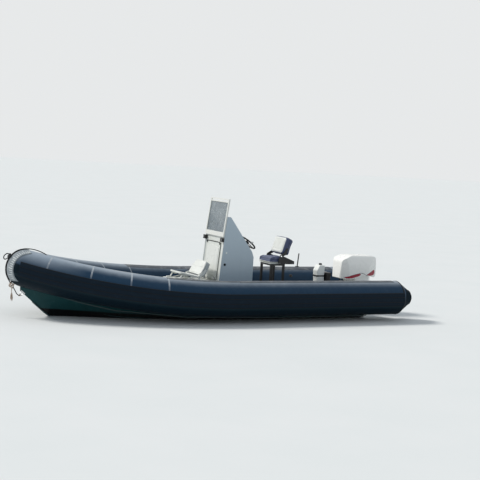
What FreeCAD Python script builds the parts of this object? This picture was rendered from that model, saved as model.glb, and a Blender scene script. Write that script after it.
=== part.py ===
import FreeCAD, Part
import math
import os
import Sketcher
from FreeCAD import Placement, Rotation, Vector

# Rigid inflatable boat with an outboard motor, in millimetres.
# X points to the bow, Y to port, Z up. The origin is on the centreline, at the
# waterline, at the outer face of the transom.

doc = FreeCAD.newDocument("RibBoat")
sheet = doc.addObject("Spreadsheet::Sheet", "Size")

# Driving dimensions: alias, value, meaning
SIZES = [
    ("tube_radius", 285, "radius of the inflated tube"),
    ("tube_spacing", 1000, "centreline of the boat to the axis of each tube"),
    ("tube_height", 380, "height of the straight tubes' axis above the water"),
    ("arc_start", 2650, "where the tubes begin to curve towards the bow"),
    ("arc_radius", 5200, "radius of the curve of the tubes' axis"),
    ("sheer_angle", 19.8, "tilt of the plane that the curve lies in"),
    ("cone_start", -430, "where the stern cone of a tube begins"),
    ("cone_end", -680, "where the stern cone meets its round tip"),
    ("cone_tip_radius", 125, "radius of the cone where the round tip begins"),
    ("skin_gap", 0.3, "clearance between curved pieces that lie on each other"),
    ("strake_thickness", 12, "thickness of the rubbing strake"),
    ("strake_angle", 21, "half the angle that the rubbing strake covers"),
    ("tread_thickness", 4, "thickness of the tread strip on top of a tube"),
    ("tread_angle", 24, "half the angle that the tread strip covers"),
    ("tread_start", -330, "aft end of the tread strip"),
    ("guard_thickness", 5, "thickness of the chafe guard on the nose"),
    ("guard_half_width", 170, "half the width of the chafe guard"),
    ("deck_height", 330, "top of the cockpit sole above the water"),
    ("deck_thickness", 30, "thickness of the cockpit sole"),
    ("deck_front", 4480, "front edge of the cockpit sole"),
    ("foredeck_height", 520, "top of the raised foredeck"),
    ("transom_thickness", 60, "thickness of the transom"),
    ("transom_height", 440, "top of the transom where the motor hangs"),
    ("transom_side_height", 560, "top of the transom beside the tubes"),
    ("cutout_half_width", 420, "half the width of the motor cut-out"),
    ("keel_depth", 250, "depth of the keel below the water"),
    ("chine_spacing", 800, "centreline to the chine"),
    ("chine_height", 40, "height of the chine above the water amidships"),
    ("console_width", 690, "width of the console over its side panels"),
    ("console_wall", 25, "thickness of a side panel"),
    ("console_foot", 2663, "front of the console at deck height"),
    ("console_lean", 0.085, "how far the front leans aft for each unit up"),
    ("console_length", 643, "length of the console at deck height"),
    ("shoulder_height", 1225, "top of the lower front panel"),
    ("upper_front", 75, "height of the upper front panel above the lower one"),
    ("knee_drop", 260, "top of the upper front panel down to the bend of the aft edge"),
    ("peak_rise", 336, "top of the upper front panel up to the top of the side panels"),
    ("front_wall", 20, "thickness of the front panels"),
    ("hatch_width", 500, "width of the front hatch"),
    ("hatch_head", 25, "top of the front hatch below the shoulders"),
    ("hatch_sill", 590, "bottom of the front hatch"),
    ("hatch_gap", 8, "gap round the front hatch"),
    ("screen_width", 665, "width of the windscreen"),
    ("screen_tall", 625, "height of the windscreen along its slope"),
    ("screen_lean", 6.9, "lean of the windscreen"),
    ("screen_depth", 24, "depth of the windscreen frame"),
    ("screen_rim", 26, "width of the windscreen's side rims"),
    ("screen_foot", 74, "height of the windscreen's bottom rim"),
    ("wheel_radius", 175, "radius of the steering wheel"),
    ("wheel_grip", 13, "radius of the steering wheel's grip"),
    ("wheel_tilt", 38, "tilt of the steering wheel from level"),
    ("wheel_overhang", 45, "centre of the steering wheel behind the console"),
    ("wheel_drop", 105, "centre of the steering wheel below the upper front panel's top"),
    ("helm_bore", 12, "radius of the steering wheel's shaft"),
    ("running_gap", 0.05, "radial clearance of a shaft in its bore"),
    ("seat_width", 420, "width of the helm seat"),
    ("seat_top", 975, "top of the helm seat's cushion"),
    ("helm_room", 400, "console to the front of the helm seat's cushion"),
    ("seat_length", 350, "length of the helm seat's cushion"),
    ("seat_cushion", 110, "thickness of the helm seat's cushion"),
    ("seat_tube", 34, "side of the square tube of the helm seat's frame"),
    ("pivot_setback", 195, "front of the helm seat's cushion to the pivot of its back"),
    ("pivot_rise", 10, "pivot of the helm seat's back above its cushion"),
    ("back_height", 300, "height of the helm seat's back"),
    ("back_lean", 18, "lean of the helm seat's back"),
    ("locker_room", 37, "console to the back of the seat locker"),
    ("locker_length", 780, "length of the seat locker ahead of the console"),
    ("locker_width", 560, "width of the seat locker"),
    ("locker_top", 575, "top of the seat locker"),
    ("pan_setback", 250, "back of the seat locker to the pivot of the forward seat's back"),
    ("pan_rise", 75, "pivot of the forward seat's back above the seat locker"),
    ("pan_width", 490, "width of the forward seat"),
    ("pan_length", 400, "length of the forward seat's pan"),
    ("pan_thickness", 26, "thickness of the forward seat's pan"),
    ("pan_tilt", 12, "tilt of the forward seat's pan"),
    ("pan_back_lean", 30, "lean of the forward seat's back"),
    ("pan_back_height", 285, "height of the forward seat's back"),
    ("pan_back_thick", 100, "thickness of the forward seat's back"),
    ("pan_back_taper", 42, "how much narrower each side of that back is at its top"),
    ("tank_width", 150, "width of the oil tank"),
    ("tank_length", 150, "length of the oil tank"),
    ("tank_height", 515, "height of the oil tank"),
    ("tank_x", 640, "middle of the oil tank, along the boat"),
    ("tank_y", 205, "middle of the oil tank, to port"),
    ("battery_length", 82, "length of the battery box"),
    ("battery_width", 270, "width of the battery box"),
    ("battery_height", 390, "height of the battery box"),
    ("pole_radius", 11, "radius of the stern light's pole"),
    ("pole_height", 250, "height of the stern light's pole"),
    ("tilt_x", -40, "tilt axis of the motor, along the boat"),
    ("tilt_z", 500, "tilt axis of the motor, up"),
    ("tilt_tube", 14, "radius of the tilt tube"),
    ("clamp_spacing", 85, "centreline to the inner face of each clamp plate"),
    ("clamp_plate", 15, "thickness of a clamp plate"),
    ("steer_x", -110, "steering axis of the motor, along the boat"),
    ("steer_pin", 20, "radius of the steering pin"),
    ("swivel_radius", 38, "outer radius of the swivel tube"),
    ("swivel_low", 215, "bottom of the swivel tube"),
    ("swivel_high", 462, "top of the swivel tube"),
    ("cowl_front", 150, "front of the motor's cowl"),
    ("cowl_back", -610, "back of the motor's cowl"),
    ("cowl_width", 470, "width of the motor's cowl"),
    ("cowl_bottom", 600, "bottom of the motor's cowl"),
    ("cowl_top", 1005, "top of the motor's cowl"),
    ("cowl_wall", 8, "wall of the motor's cowl"),
    ("engine_length", 560, "length of the engine block"),
    ("engine_width", 340, "width of the engine block"),
    ("engine_top", 950, "top of the engine block"),
    ("leg_front", -155, "front of the motor's leg"),
    ("leg_back", -345, "back of the motor's leg"),
    ("leg_width", 110, "width of the motor's leg"),
    ("plate_level", -200, "top of the anti-ventilation plate"),
    ("shaft_level", -405, "propeller shaft below the water"),
    ("gear_radius", 56, "radius of the gear housing"),
    ("skeg_level", -620, "bottom of the skeg"),
    ("prop_radius", 172, "radius of the propeller"),
    ("prop_x", -470, "middle of the propeller, along the boat"),
    ("rope_radius", 8, "radius of the bow rope"),
    ("tail_radius", 6, "radius of the rope's loose end"),
    ("knot_radius", 38, "radius of the knot under the nose"),
    ("eye_rod", 6, "radius of the bow eye's rod"),
    ("column_length", 180, "middle of the steering wheel to the dash"),
    ("cleat_setback", 850, "cleat on the foredeck behind the nose"),
    ("cleat_width", 130, "length of that cleat's horns"),
]
for row, (alias, value, meaning) in enumerate(SIZES, start=1):
    sheet.set("A%d" % row, alias)
    sheet.set("B%d" % row, str(value))
    sheet.set("C%d" % row, meaning)
    sheet.setAlias("B%d" % row, alias)
doc.recompute()


class Size:
    """A number from the sheet that keeps its formula, so that a property can be bound to it."""

    def __init__(self, value, formula):
        self.value = float(value)
        self.formula = formula

    def joined(self, sign, other, value):
        return Size(value, "(%s %s %s)" % (self.formula, sign, formula(other)))

    def __add__(self, other):
        return self.joined("+", other, self.value + number(other))

    def __sub__(self, other):
        return self.joined("-", other, self.value - number(other))

    def __mul__(self, other):
        return self.joined("*", other, self.value * number(other))

    def __truediv__(self, other):
        return self.joined("/", other, self.value / number(other))

    def __neg__(self):
        return Size(-self.value, "(0 - %s)" % self.formula)

    def __radd__(self, other):
        return self + other

    def __rsub__(self, other):
        return -self + other

    def __rmul__(self, other):
        return self * other


def number(value):
    """The plain number behind a size."""
    return value.value if isinstance(value, Size) else float(value)


def formula(value):
    """The text of a size in the document's own formula language."""
    return value.formula if isinstance(value, Size) else "(%.6f)" % value


class Sizes:
    """Every alias of the sheet as an attribute."""


S = Sizes()
N = Sizes()
for alias, value, meaning in SIZES:
    setattr(S, alias, Size(sheet.get(alias), "Size." + alias))
    setattr(N, alias, float(sheet.get(alias)))


def place_along(name, value):
    """Add a place that follows from other sizes to both lists of sizes."""
    setattr(S, name, value)
    setattr(N, name, value.value)


place_along("console_back", S.console_foot - S.console_length)
place_along("front_top", S.shoulder_height + S.upper_front)
place_along("console_knee", S.front_top - S.knee_drop)
place_along("console_peak", S.front_top + S.peak_rise)
place_along("hatch_height", S.shoulder_height - S.hatch_head - S.hatch_sill)
place_along("wheel_x", S.console_back - S.wheel_overhang)
place_along("wheel_z", S.front_top - S.wheel_drop)
place_along("seat_front", S.console_back - S.helm_room)
place_along("seat_pivot_x", S.seat_front - S.pivot_setback)
place_along("seat_pivot_z", S.seat_top + S.pivot_rise)
place_along("locker_back", S.console_foot + S.locker_room)
place_along("locker_front", S.locker_back + S.locker_length)
place_along("pan_pivot_x", S.locker_back + S.pan_setback)
place_along("pan_pivot_z", S.locker_top + S.pan_rise)


def bind(piece, prop, value):
    """Set a property to a size, with its formula when it has one."""
    if isinstance(value, Size):
        piece.setExpression(prop, value.formula)
    else:
        piece.setExpression(prop, formula(value))


PIECES = []


def keep(piece, label):
    """Give a finished sub-part its label and put it on the list to write out."""
    piece.Label = label
    PIECES.append(piece)
    return piece


ROLES = {"XY": "XY_Plane", "XZ": "XZ_Plane", "YZ": "YZ_Plane"}


def new_body(label):
    return doc.addObject("PartDesign::Body", label)


def new_sketch(body, plane, loops, level=0, name="outline"):
    """A sketch on one of the body's own origin planes, moved along its normal to a level.

    A loop is a list of corners (x, y) or ("circle", x, y, radius).
    """
    sketch = body.newObject("Sketcher::SketchObject", body.Name + "_" + name)
    support = [f for f in body.Origin.OriginFeatures if f.Role == ROLES[plane]][0]
    sketch.AttachmentSupport = (support, [""])
    sketch.MapMode = "FlatFace"
    bind(sketch, "AttachmentOffset.Base.z", -level if plane == "XZ" else level)
    for loop in loops:
        if loop[0] == "circle":
            draw_circle(sketch, *loop[1:])
        else:
            draw_corners(sketch, loop)
    return sketch


def pin(sketch, geometry, end, x, y):
    """Hold a point of the sketch at x and y from the sketch's origin."""
    for kind, axis, value in (("DistanceX", -2, x), ("DistanceY", -1, y)):
        if number(value) == 0:
            sketch.addConstraint(Sketcher.Constraint("PointOnObject", geometry, end, axis))
            continue
        index = sketch.addConstraint(
            Sketcher.Constraint(kind, -1, 1, geometry, end, number(value)))
        if isinstance(value, Size):
            sketch.setExpression("Constraints[%d]" % index, value.formula)


def draw_corners(sketch, corners):
    first = sketch.GeometryCount
    count = len(corners)
    places = [Vector(number(c[0]), number(c[1]), 0) for c in corners]
    for i in range(count):
        sketch.addGeometry(Part.LineSegment(places[i], places[(i + 1) % count]), False)
    for i in range(count):
        after = first + (i + 1) % count
        sketch.addConstraint(Sketcher.Constraint("Coincident", first + i, 2, after, 1))
    for i in range(count):
        pin(sketch, first + i, 1, corners[i][0], corners[i][1])


def draw_circle(sketch, x, y, radius):
    middle = Vector(number(x), number(y), 0)
    index = sketch.addGeometry(Part.Circle(middle, Vector(0, 0, 1), number(radius)), False)
    pin(sketch, index, 3, x, y)
    rule = sketch.addConstraint(Sketcher.Constraint("Radius", index, number(radius)))
    if isinstance(radius, Size):
        sketch.setExpression("Constraints[%d]" % rule, radius.formula)


def pad(body, plane, loops, depth, level=0, middle=False, name="pad"):
    """Extrude loops from a level, or to both sides of it when middle is set."""
    sketch = new_sketch(body, plane, loops, level, name + "_outline")
    feature = body.newObject("PartDesign::Pad", body.Name + "_" + name)
    feature.Profile = sketch
    bind(feature, "Length", depth)
    feature.Midplane = middle
    body.Tip = feature
    return feature


def pocket(body, plane, loops, depth, level=0, name="pocket"):
    """Cut loops out of the body to both sides of a level."""
    before = volume_of(body)
    sketch = new_sketch(body, plane, loops, level, name + "_outline")
    feature = body.newObject("PartDesign::Pocket", body.Name + "_" + name)
    feature.Profile = sketch
    bind(feature, "Length", depth)
    feature.Midplane = True
    body.Tip = feature
    if volume_of(body) >= before:
        raise RuntimeError(feature.Name + " cuts nothing")
    return feature


def volume_of(body):
    doc.recompute()
    return body.Shape.Volume


def turned(body, plane, loops, axis, name="turned"):
    """Revolve loops a full turn about the sketch's H_Axis or V_Axis."""
    sketch = new_sketch(body, plane, loops, 0, name + "_outline")
    feature = body.newObject("PartDesign::Revolution", body.Name + "_" + name)
    feature.Profile = sketch
    feature.ReferenceAxis = (sketch, [axis])
    feature.Angle = 360
    body.Tip = feature
    return feature


def round_edges(body, choose, radius, name="round"):
    """Fillet the edges of the body's last feature that a test picks."""
    doc.recompute()
    base = body.Tip
    picked = ["Edge%d" % i for i, edge in enumerate(base.Shape.Edges, 1) if choose(edge)]
    if not picked:
        raise RuntimeError(body.Name + " has no edge to round")
    feature = body.newObject("PartDesign::Fillet", body.Name + "_" + name)
    feature.Base = (base, picked)
    bind(feature, "Radius", radius)
    body.Tip = feature
    return feature


def along(direction):
    """A test for straight edges that run along a direction."""
    def test(edge):
        if len(edge.Vertexes) != 2 or edge.Curve.TypeId != "Part::GeomLine":
            return False
        run = edge.Vertexes[1].Point - edge.Vertexes[0].Point
        return run.Length > 1e-6 and abs(abs(run.normalize().dot(direction)) - 1) < 1e-6
    return test


def near(direction, corners, plane):
    """A test for edges along a direction at given corners of the outline's plane."""
    straight = along(direction)
    places = {"XY": (0, 1), "XZ": (0, 2), "YZ": (1, 2)}[plane]

    def test(edge):
        if not straight(edge):
            return False
        point = edge.Vertexes[0].Point
        spot = [point[k] for k in places]
        for corner in corners:
            if abs(spot[0] - number(corner[0])) < 0.01 and abs(spot[1] - number(corner[1])) < 0.01:
                return True
        return False
    return test


def inset(corners, distance):
    """A closed outline moved inward by a distance, as plain numbers."""
    points = [Vector(number(c[0]), number(c[1]), 0) for c in corners]
    count = len(points)
    area = sum(points[i - 1].x * points[i].y - points[i].x * points[i - 1].y for i in range(count))
    inward = 1 if area > 0 else -1
    moved = []
    for i in range(count):
        before = (points[i] - points[i - 1]).normalize()
        after = (points[(i + 1) % count] - points[i]).normalize()
        left = Vector(-before.y, before.x, 0) * inward
        right = Vector(-after.y, after.x, 0) * inward
        share = distance / (1 + left.dot(right))
        corner = points[i] + (left + right) * share
        moved.append((corner.x, corner.y))
    return moved


ALONG_X = Vector(1, 0, 0)
ALONG_Y = Vector(0, 1, 0)
ALONG_Z = Vector(0, 0, 1)


def formed(label, shape, placement=None):
    """A sub-part whose shape is made with the Part module's own functions."""
    piece = doc.addObject("Part::Feature", label)
    piece.Shape = shape
    if placement is not None:
        piece.Placement = placement
    return keep(piece, label)


def lean_about(x, z, degrees):
    """A placement that puts a local origin at x, z and leans the piece aft."""
    return Placement(Vector(x, 0, z), Rotation(ALONG_Y, -degrees))


def bent_rod(points, bend, radius=None, side=None):
    """A round or square rod along straight runs joined by tangent arcs."""
    path = rounded_path(points, bend)
    start = path.Edges[0].firstVertex().Point
    heading = (points[1] - points[0]).normalize()
    if radius:
        profile = Part.Wire(Part.Circle(start, heading, radius).toShape())
    else:
        half = side / 2
        corners = [Vector(-half, -half, 0), Vector(half, -half, 0),
                   Vector(half, half, 0), Vector(-half, half, 0)]
        profile = Part.makePolygon(corners + corners[:1])
        profile.Placement = Placement(start, Rotation(ALONG_Z, heading))
    return path.makePipeShell([profile], True, False)


def rounded_path(points, bend):
    """Line segments and tangent arcs through points, with one bend radius or one for each corner."""
    edges = []
    last = points[0]
    for i in range(1, len(points) - 1):
        corner = points[i]
        back = (points[i - 1] - corner).normalize()
        ahead = (points[i + 1] - corner).normalize()
        half = math.acos(max(-1.0, min(1.0, back.dot(ahead)))) / 2
        radius = bend[i - 1] if isinstance(bend, list) else bend
        reach = radius / math.tan(half)
        begin = corner + back * reach
        end = corner + ahead * reach
        middle_way = (back + ahead).normalize()
        centre = corner + middle_way * (radius / math.sin(half))
        crown = centre - middle_way * radius
        edges.append(Part.LineSegment(last, begin).toShape())
        edges.append(Part.Arc(begin, crown, end).toShape())
        last = end
    edges.append(Part.LineSegment(last, points[-1]).toShape())
    return Part.Wire(edges)


def rounded_loop(corners, inward, place):
    """A face inside a closed outline of x, y and corner radius, moved inward by a distance."""
    moved = inset([c[:2] for c in corners], inward)
    count = len(corners)
    edges = []
    ends = []
    for i in range(count):
        here = Vector(moved[i][0], moved[i][1], 0)
        back = Vector(moved[i - 1][0], moved[i - 1][1], 0) - here
        ahead = Vector(moved[(i + 1) % count][0], moved[(i + 1) % count][1], 0) - here
        half = back.getAngle(ahead) / 2
        radius = max(1.0, corners[i][2] - inward)
        reach = radius / math.tan(half)
        back.normalize()
        ahead.normalize()
        middle_way = (back + ahead).normalize()
        crown = here + middle_way * (radius / math.sin(half) - radius)
        ends.append((here + back * reach, crown, here + ahead * reach))
    for i in range(count):
        begin, crown, end = [place(p.x, p.y) for p in ends[i]]
        following = place(ends[(i + 1) % count][0].x, ends[(i + 1) % count][0].y)
        edges.append(Part.Arc(begin, crown, end).toShape())
        edges.append(Part.LineSegment(end, following).toShape())
    return Part.Face(Part.Wire(edges))


# The axis of a tube: straight from the stern, then one arc in a tilted plane that
# meets the other tube's axis on the centreline.
TILT = math.radians(N.sheer_angle)
ARC_SWEEP = math.acos(1 - N.tube_spacing / (N.arc_radius * math.cos(TILT)))
NOSE_X = N.arc_start + N.arc_radius * math.sin(ARC_SWEEP)
NOSE_Z = N.tube_height + N.tube_spacing * math.tan(TILT)
BIG = 20000


def arc_point(side, angle):
    """A point of the tube's curved axis and the inward direction there."""
    inward = Vector(0, -side * math.cos(TILT), math.sin(TILT))
    start = Vector(N.arc_start, side * N.tube_spacing, N.tube_height)
    run = N.arc_radius * math.sin(angle)
    rise = N.arc_radius * (1 - math.cos(angle))
    return start + Vector(run, 0, 0) + inward * rise


def tube_axis_at(x):
    """Height and distance from the centreline of the tube's axis at a station x."""
    if x <= N.arc_start:
        return N.tube_spacing, N.tube_height
    point = arc_point(1, math.asin((x - N.arc_start) / N.arc_radius))
    return point.y, point.z


def swept_section(side, section, aft):
    """Sweep a flat section, drawn at the start of the arc, aft along X and forward round the arc."""
    inward = Vector(0, -side * math.cos(TILT), math.sin(TILT))
    start = Vector(N.arc_start, side * N.tube_spacing, N.tube_height)
    centre = start + inward * N.arc_radius
    straight = section.extrude(Vector(aft - N.arc_start, 0, 0))
    curved = section.revolve(centre, ALONG_X.cross(inward), math.degrees(ARC_SWEEP))
    return straight, curved


def tube_disc(side, radius):
    start = Vector(N.arc_start, side * N.tube_spacing, N.tube_height)
    return Part.Face(Part.Wire(Part.Circle(start, ALONG_X, radius).toShape()))


def stern_cap(side, swell=0):
    """The cone at the aft end of a tube with its round tip."""
    slope = math.atan2(N.tube_radius - N.cone_tip_radius, N.cone_start - N.cone_end)
    big = N.tube_radius + swell
    small = N.cone_tip_radius + swell
    ball = small / math.cos(slope)
    ball_x = N.cone_end + ball * math.sin(slope)
    tip = ball_x - ball
    half_way = (math.pi / 2 - slope) / 2
    crown = Vector(ball_x, 0, 0) + Vector(-math.cos(half_way), math.sin(half_way), 0) * ball
    edges = [
        Part.LineSegment(Vector(tip, 0, 0), Vector(N.cone_start, 0, 0)).toShape(),
        Part.LineSegment(Vector(N.cone_start, 0, 0), Vector(N.cone_start, big, 0)).toShape(),
        Part.LineSegment(Vector(N.cone_start, big, 0), Vector(N.cone_end, small, 0)).toShape(),
        Part.Arc(Vector(N.cone_end, small, 0), crown, Vector(tip, 0, 0)).toShape(),
    ]
    profile = Part.Face(Part.Wire(edges))
    cap = profile.revolve(Vector(0, 0, 0), ALONG_X, 360)
    cap.translate(Vector(0, side * N.tube_spacing, N.tube_height))
    return cap


def tube_solid(side, radius, aft, cap=None):
    """One side's tube as far as the centreline, where a ball rounds the nose."""
    straight, curved = swept_section(side, tube_disc(side, radius), aft)
    ball = Part.makeSphere(radius, Vector(NOSE_X, 0, NOSE_Z))
    pieces = [curved, ball]
    if cap is not None:
        pieces.append(cap)
    return straight.fuse(pieces)


def half_space(side, gap):
    """Everything on one side of the centreline, beyond a small gap."""
    box = Part.makeBox(2 * BIG, BIG, 2 * BIG, Vector(-BIG, 0, -BIG))
    if side < 0:
        box.translate(Vector(0, -BIG, 0))
    box.translate(Vector(0, side * gap, 0))
    return box


SIDES = ((1, "port"), (-1, "starboard"))

# Buoyancy tubes
for side, word in SIDES:
    tube = tube_solid(side, N.tube_radius, N.cone_start, stern_cap(side))
    formed("collar_" + word, tube.common(half_space(side, 0)).removeSplitter())


def clearance_tubes():
    """Both tubes a skin gap larger, to cut from what they rest in."""
    radius = N.tube_radius + N.skin_gap
    return [tube_solid(side, radius, -BIG / 10) for side, word in SIDES]


def sector(side, inner, outer, from_angle, to_angle):
    """A ring segment of the tube's section; angles are up from the outboard side."""
    start = Vector(N.arc_start, side * N.tube_spacing, N.tube_height)

    def place(radius, angle):
        turn = math.radians(angle)
        return start + Vector(0, side * math.cos(turn), math.sin(turn)) * radius

    middle = (from_angle + to_angle) / 2
    edges = [
        Part.Arc(place(outer, from_angle), place(outer, middle), place(outer, to_angle)).toShape(),
        Part.LineSegment(place(outer, to_angle), place(inner, to_angle)).toShape(),
        Part.Arc(place(inner, to_angle), place(inner, middle), place(inner, from_angle)).toShape(),
        Part.LineSegment(place(inner, from_angle), place(outer, from_angle)).toShape(),
    ]
    return Part.Face(Part.Wire(edges))


# Rubbing strakes and tread strips
STRIPS = [
    # name, thickness, first angle, last angle, aft end
    ("strake", N.strake_thickness, -N.strake_angle, N.strake_angle, N.cone_start),
    ("tread", N.tread_thickness, 96 - N.tread_angle, 96 + N.tread_angle, N.tread_start),
]
for side, word in SIDES:
    for name, thick, low, high, aft in STRIPS:
        inner = N.tube_radius + N.skin_gap
        section = sector(side, inner, inner + thick, low, high)
        straight, curved = swept_section(side, section, aft)
        if name == "tread":
            strip = straight
        else:
            guard_edge = half_space(side, N.guard_half_width + 2)
            strip = straight.fuse(curved).common(guard_edge).removeSplitter()
        formed(name + "_" + word, strip)

# Chafe guard round the nose
guard_inner = N.tube_radius + N.skin_gap
guard_outer = guard_inner + N.guard_thickness
guard_back = 40
guard_drop = 180
guard_reach = 3 * N.tube_radius
guard_room = Part.makeBox(guard_reach, 2 * N.guard_half_width, guard_reach,
                          Vector(NOSE_X - guard_back, -N.guard_half_width, NOSE_Z - guard_drop))
guard_halves = []
for side, word in SIDES:
    outer_half = tube_solid(side, guard_outer, N.arc_start - 1).common(half_space(side, 0))
    inner_half = tube_solid(side, guard_inner, N.arc_start - 2).common(half_space(side, 0))
    guard_halves.append(outer_half.cut(inner_half).common(guard_room))
nose_guard = guard_halves[0].fuse(guard_halves[1]).removeSplitter()
formed("nose_guard", max(nose_guard.Solids, key=lambda solid: solid.Volume))

# Hull
STEM_TOP_X = NOSE_X + 60
STEM_TOP_Z = NOSE_Z - 345
# Stations: x, keel height, chine from the centreline, chine height, top height
HULL_STATIONS = [
    (N.transom_thickness, -N.keel_depth, N.chine_spacing, N.chine_height, N.deck_height - N.deck_thickness),
    (2000, -N.keel_depth, N.chine_spacing, N.chine_height, N.deck_height - N.deck_thickness),
    (3400, -N.keel_depth * 0.98, N.chine_spacing * 0.94, N.chine_height * 1.6, N.deck_height - N.deck_thickness),
    (N.deck_front, -N.keel_depth * 0.78, N.chine_spacing * 0.67, N.chine_height * 3.8, N.deck_height - N.deck_thickness),
    (4950, -N.keel_depth * 0.52, N.chine_spacing * 0.46, N.chine_height * 6, 400),
    (5400, 0, N.chine_spacing * 0.21, N.chine_height * 8.7, 500),
    (STEM_TOP_X, STEM_TOP_Z, 14, STEM_TOP_Z + 50, 560),
]


def hull_section(x, keel, chine_y, chine_z, top):
    axis_y, axis_z = tube_axis_at(min(x, NOSE_X - 1))
    edge = max(axis_y, chine_y + 6)
    corners = [(0, keel), (chine_y, chine_z), (edge, top), (-edge, top), (-chine_y, chine_z)]
    points = [Vector(x, y, z) for y, z in corners]
    return Part.makePolygon(points + points[:1])


hull = Part.makeLoft([hull_section(*row) for row in HULL_STATIONS], True, True)
for tube in clearance_tubes():
    hull = hull.cut(tube)
hull = max(hull.Solids, key=lambda solid: solid.Volume)
formed("hull", hull)

# Transom: a flat board that fills the space between keel, tubes and motor cut-out
transom = new_body("transom_board")
board = [
    (0, -S.keel_depth),
    (S.chine_spacing, S.chine_height),
    (S.tube_spacing, S.tube_height),
    (S.tube_spacing - 100, S.transom_side_height),
    (S.cutout_half_width + 60, S.transom_side_height),
    (S.cutout_half_width, S.transom_height),
    (-S.cutout_half_width, S.transom_height),
    (-S.cutout_half_width - 60, S.transom_side_height),
    (-S.tube_spacing + 100, S.transom_side_height),
    (-S.tube_spacing, S.tube_height),
    (-S.chine_spacing, S.chine_height),
]
pad(transom, "YZ", [board], S.transom_thickness)
doc.recompute()
board_shape = transom.Shape
for tube in clearance_tubes():
    board_shape = board_shape.cut(tube)
formed("transom", board_shape)

# Cockpit sole and raised foredeck, cut to the tubes
sole = Part.makeBox(N.deck_front - N.transom_thickness, 2 * N.tube_spacing, N.deck_thickness,
                    Vector(N.transom_thickness, -N.tube_spacing, N.deck_height - N.deck_thickness))
plan_steps = 8
plan_edge = []
for step in range(plan_steps + 1):
    x = N.deck_front + (NOSE_X - 1 - N.deck_front) * step / plan_steps
    plan_edge.append(Vector(x, tube_axis_at(x)[0], N.deck_height - N.deck_thickness))
plan_edge += [Vector(p.x, -p.y, p.z) for p in reversed(plan_edge)]
foredeck = Part.Face(Part.makePolygon(plan_edge + plan_edge[:1])).extrude(
    Vector(0, 0, N.foredeck_height - N.deck_height + N.deck_thickness))
for tube in clearance_tubes():
    sole = sole.cut(tube)
    foredeck = foredeck.cut(tube)
foredeck = foredeck.cut(hull)
formed("cockpit_sole", max(sole.Solids, key=lambda solid: solid.Volume))
formed("foredeck", max(foredeck.Solids, key=lambda solid: solid.Volume))


def front_at(z):
    """Front face of the console at a height."""
    return S.console_foot - S.console_lean * (z - S.deck_height)


# Console side panels
half_console = S.console_width / 2
screen_slope = math.tan(math.radians(N.screen_lean))
side_outline = [
    (front_at(S.deck_height), S.deck_height),
    (front_at(S.front_top), S.front_top),
    (front_at(S.front_top) - screen_slope * (S.console_peak - S.front_top), S.console_peak),
    (front_at(S.front_top) - screen_slope * (S.console_peak - S.front_top) - 55, S.console_peak),
    (S.console_back + 35, S.console_knee + 30),
    (S.console_back, S.console_knee - 60),
    (S.console_back, S.deck_height),
]
for side, word in SIDES:
    panel = new_body("console_side_" + word)
    level = half_console - S.console_wall if side > 0 else -half_console
    pad(panel, "XZ", [side_outline], S.console_wall, level + S.console_wall)
    round_edges(panel, near(ALONG_Y, side_outline[3:6], "XZ"), 38)
    round_edges(panel, near(ALONG_Y, side_outline[2:3], "XZ"), 12, "round_front")
    keep(panel, "console_side_" + word)

# Console front: a panel between the side panels, with the hatch opening
inner_half = half_console - S.console_wall
front_lean = math.degrees(math.atan(N.console_lean))


def on_console_front(body):
    """Local Z runs up the leaning front face and local X points forward from it."""
    body.Placement = lean_about(N.console_foot, N.deck_height, front_lean)


slope_length = math.hypot(1, N.console_lean)


def up_the_front(z):
    """Distance along the leaning face from the sole to a height."""
    return (z - S.deck_height) * slope_length


hatch_left = -S.hatch_width / 2 - 20
hatch_right = hatch_left + S.hatch_width
hatch_low = up_the_front(S.hatch_sill)
hatch_high = hatch_low + S.hatch_height
gap = S.hatch_gap
front = new_body("console_front_panel")
pad(front, "YZ", [
    [(-inner_half, 4), (inner_half, 4), (inner_half, up_the_front(S.front_top)),
     (-inner_half, up_the_front(S.front_top))],
    [(hatch_left - gap, hatch_low - gap), (hatch_right + 3 * gap, hatch_low - gap),
     (hatch_right + 3 * gap, hatch_high + gap), (hatch_left - gap, hatch_high + gap)],
], S.front_wall, -S.front_wall - 6)
rebate = 15
pad(front, "YZ", [
    [(hatch_left - gap - 1, hatch_low - gap - 1), (hatch_right + 3 * gap + 1, hatch_low - gap - 1),
     (hatch_right + 3 * gap + 1, hatch_high + gap + 1), (hatch_left - gap - 1, hatch_high + gap + 1)],
    [(hatch_left + rebate, hatch_low + rebate), (hatch_right - rebate, hatch_low + rebate),
     (hatch_right - rebate, hatch_high - rebate), (hatch_left + rebate, hatch_high - rebate)],
], 5.7, -S.front_wall - 6, name="rebate")
on_console_front(front)
keep(front, "console_front")

# Front hatch, a lift-out panel that stands a little proud
hatch = new_body("front_hatch_panel")
hatch_outline = [(hatch_left, hatch_low), (hatch_right, hatch_low),
                 (hatch_right, hatch_high), (hatch_left, hatch_high)]
pad(hatch, "YZ", [hatch_outline], S.front_wall, -S.front_wall)
round_edges(hatch, near(ALONG_X, hatch_outline, "YZ"), 30)
on_console_front(hatch)
keep(hatch, "console_hatch")

# Dash and back panel between the side panels
back_x = S.console_back
tilt = math.radians(N.wheel_tilt)
dash_x = N.wheel_x + N.column_length * math.sin(tilt)
dash_z = N.wheel_z - N.column_length * math.cos(tilt)
dash_wall = 15
shelf_z = N.front_top + 12


def dash_at(x, sink=0):
    """Height of the dash's sloping face, or of a face sunk below it."""
    return dash_z + (x - dash_x) * math.tan(tilt) - sink / math.cos(tilt)


def dash_reaches(z, sink=0):
    """Where the dash's sloping face is at a height."""
    return dash_x + (z - dash_z + sink / math.cos(tilt)) / math.tan(tilt)


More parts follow.
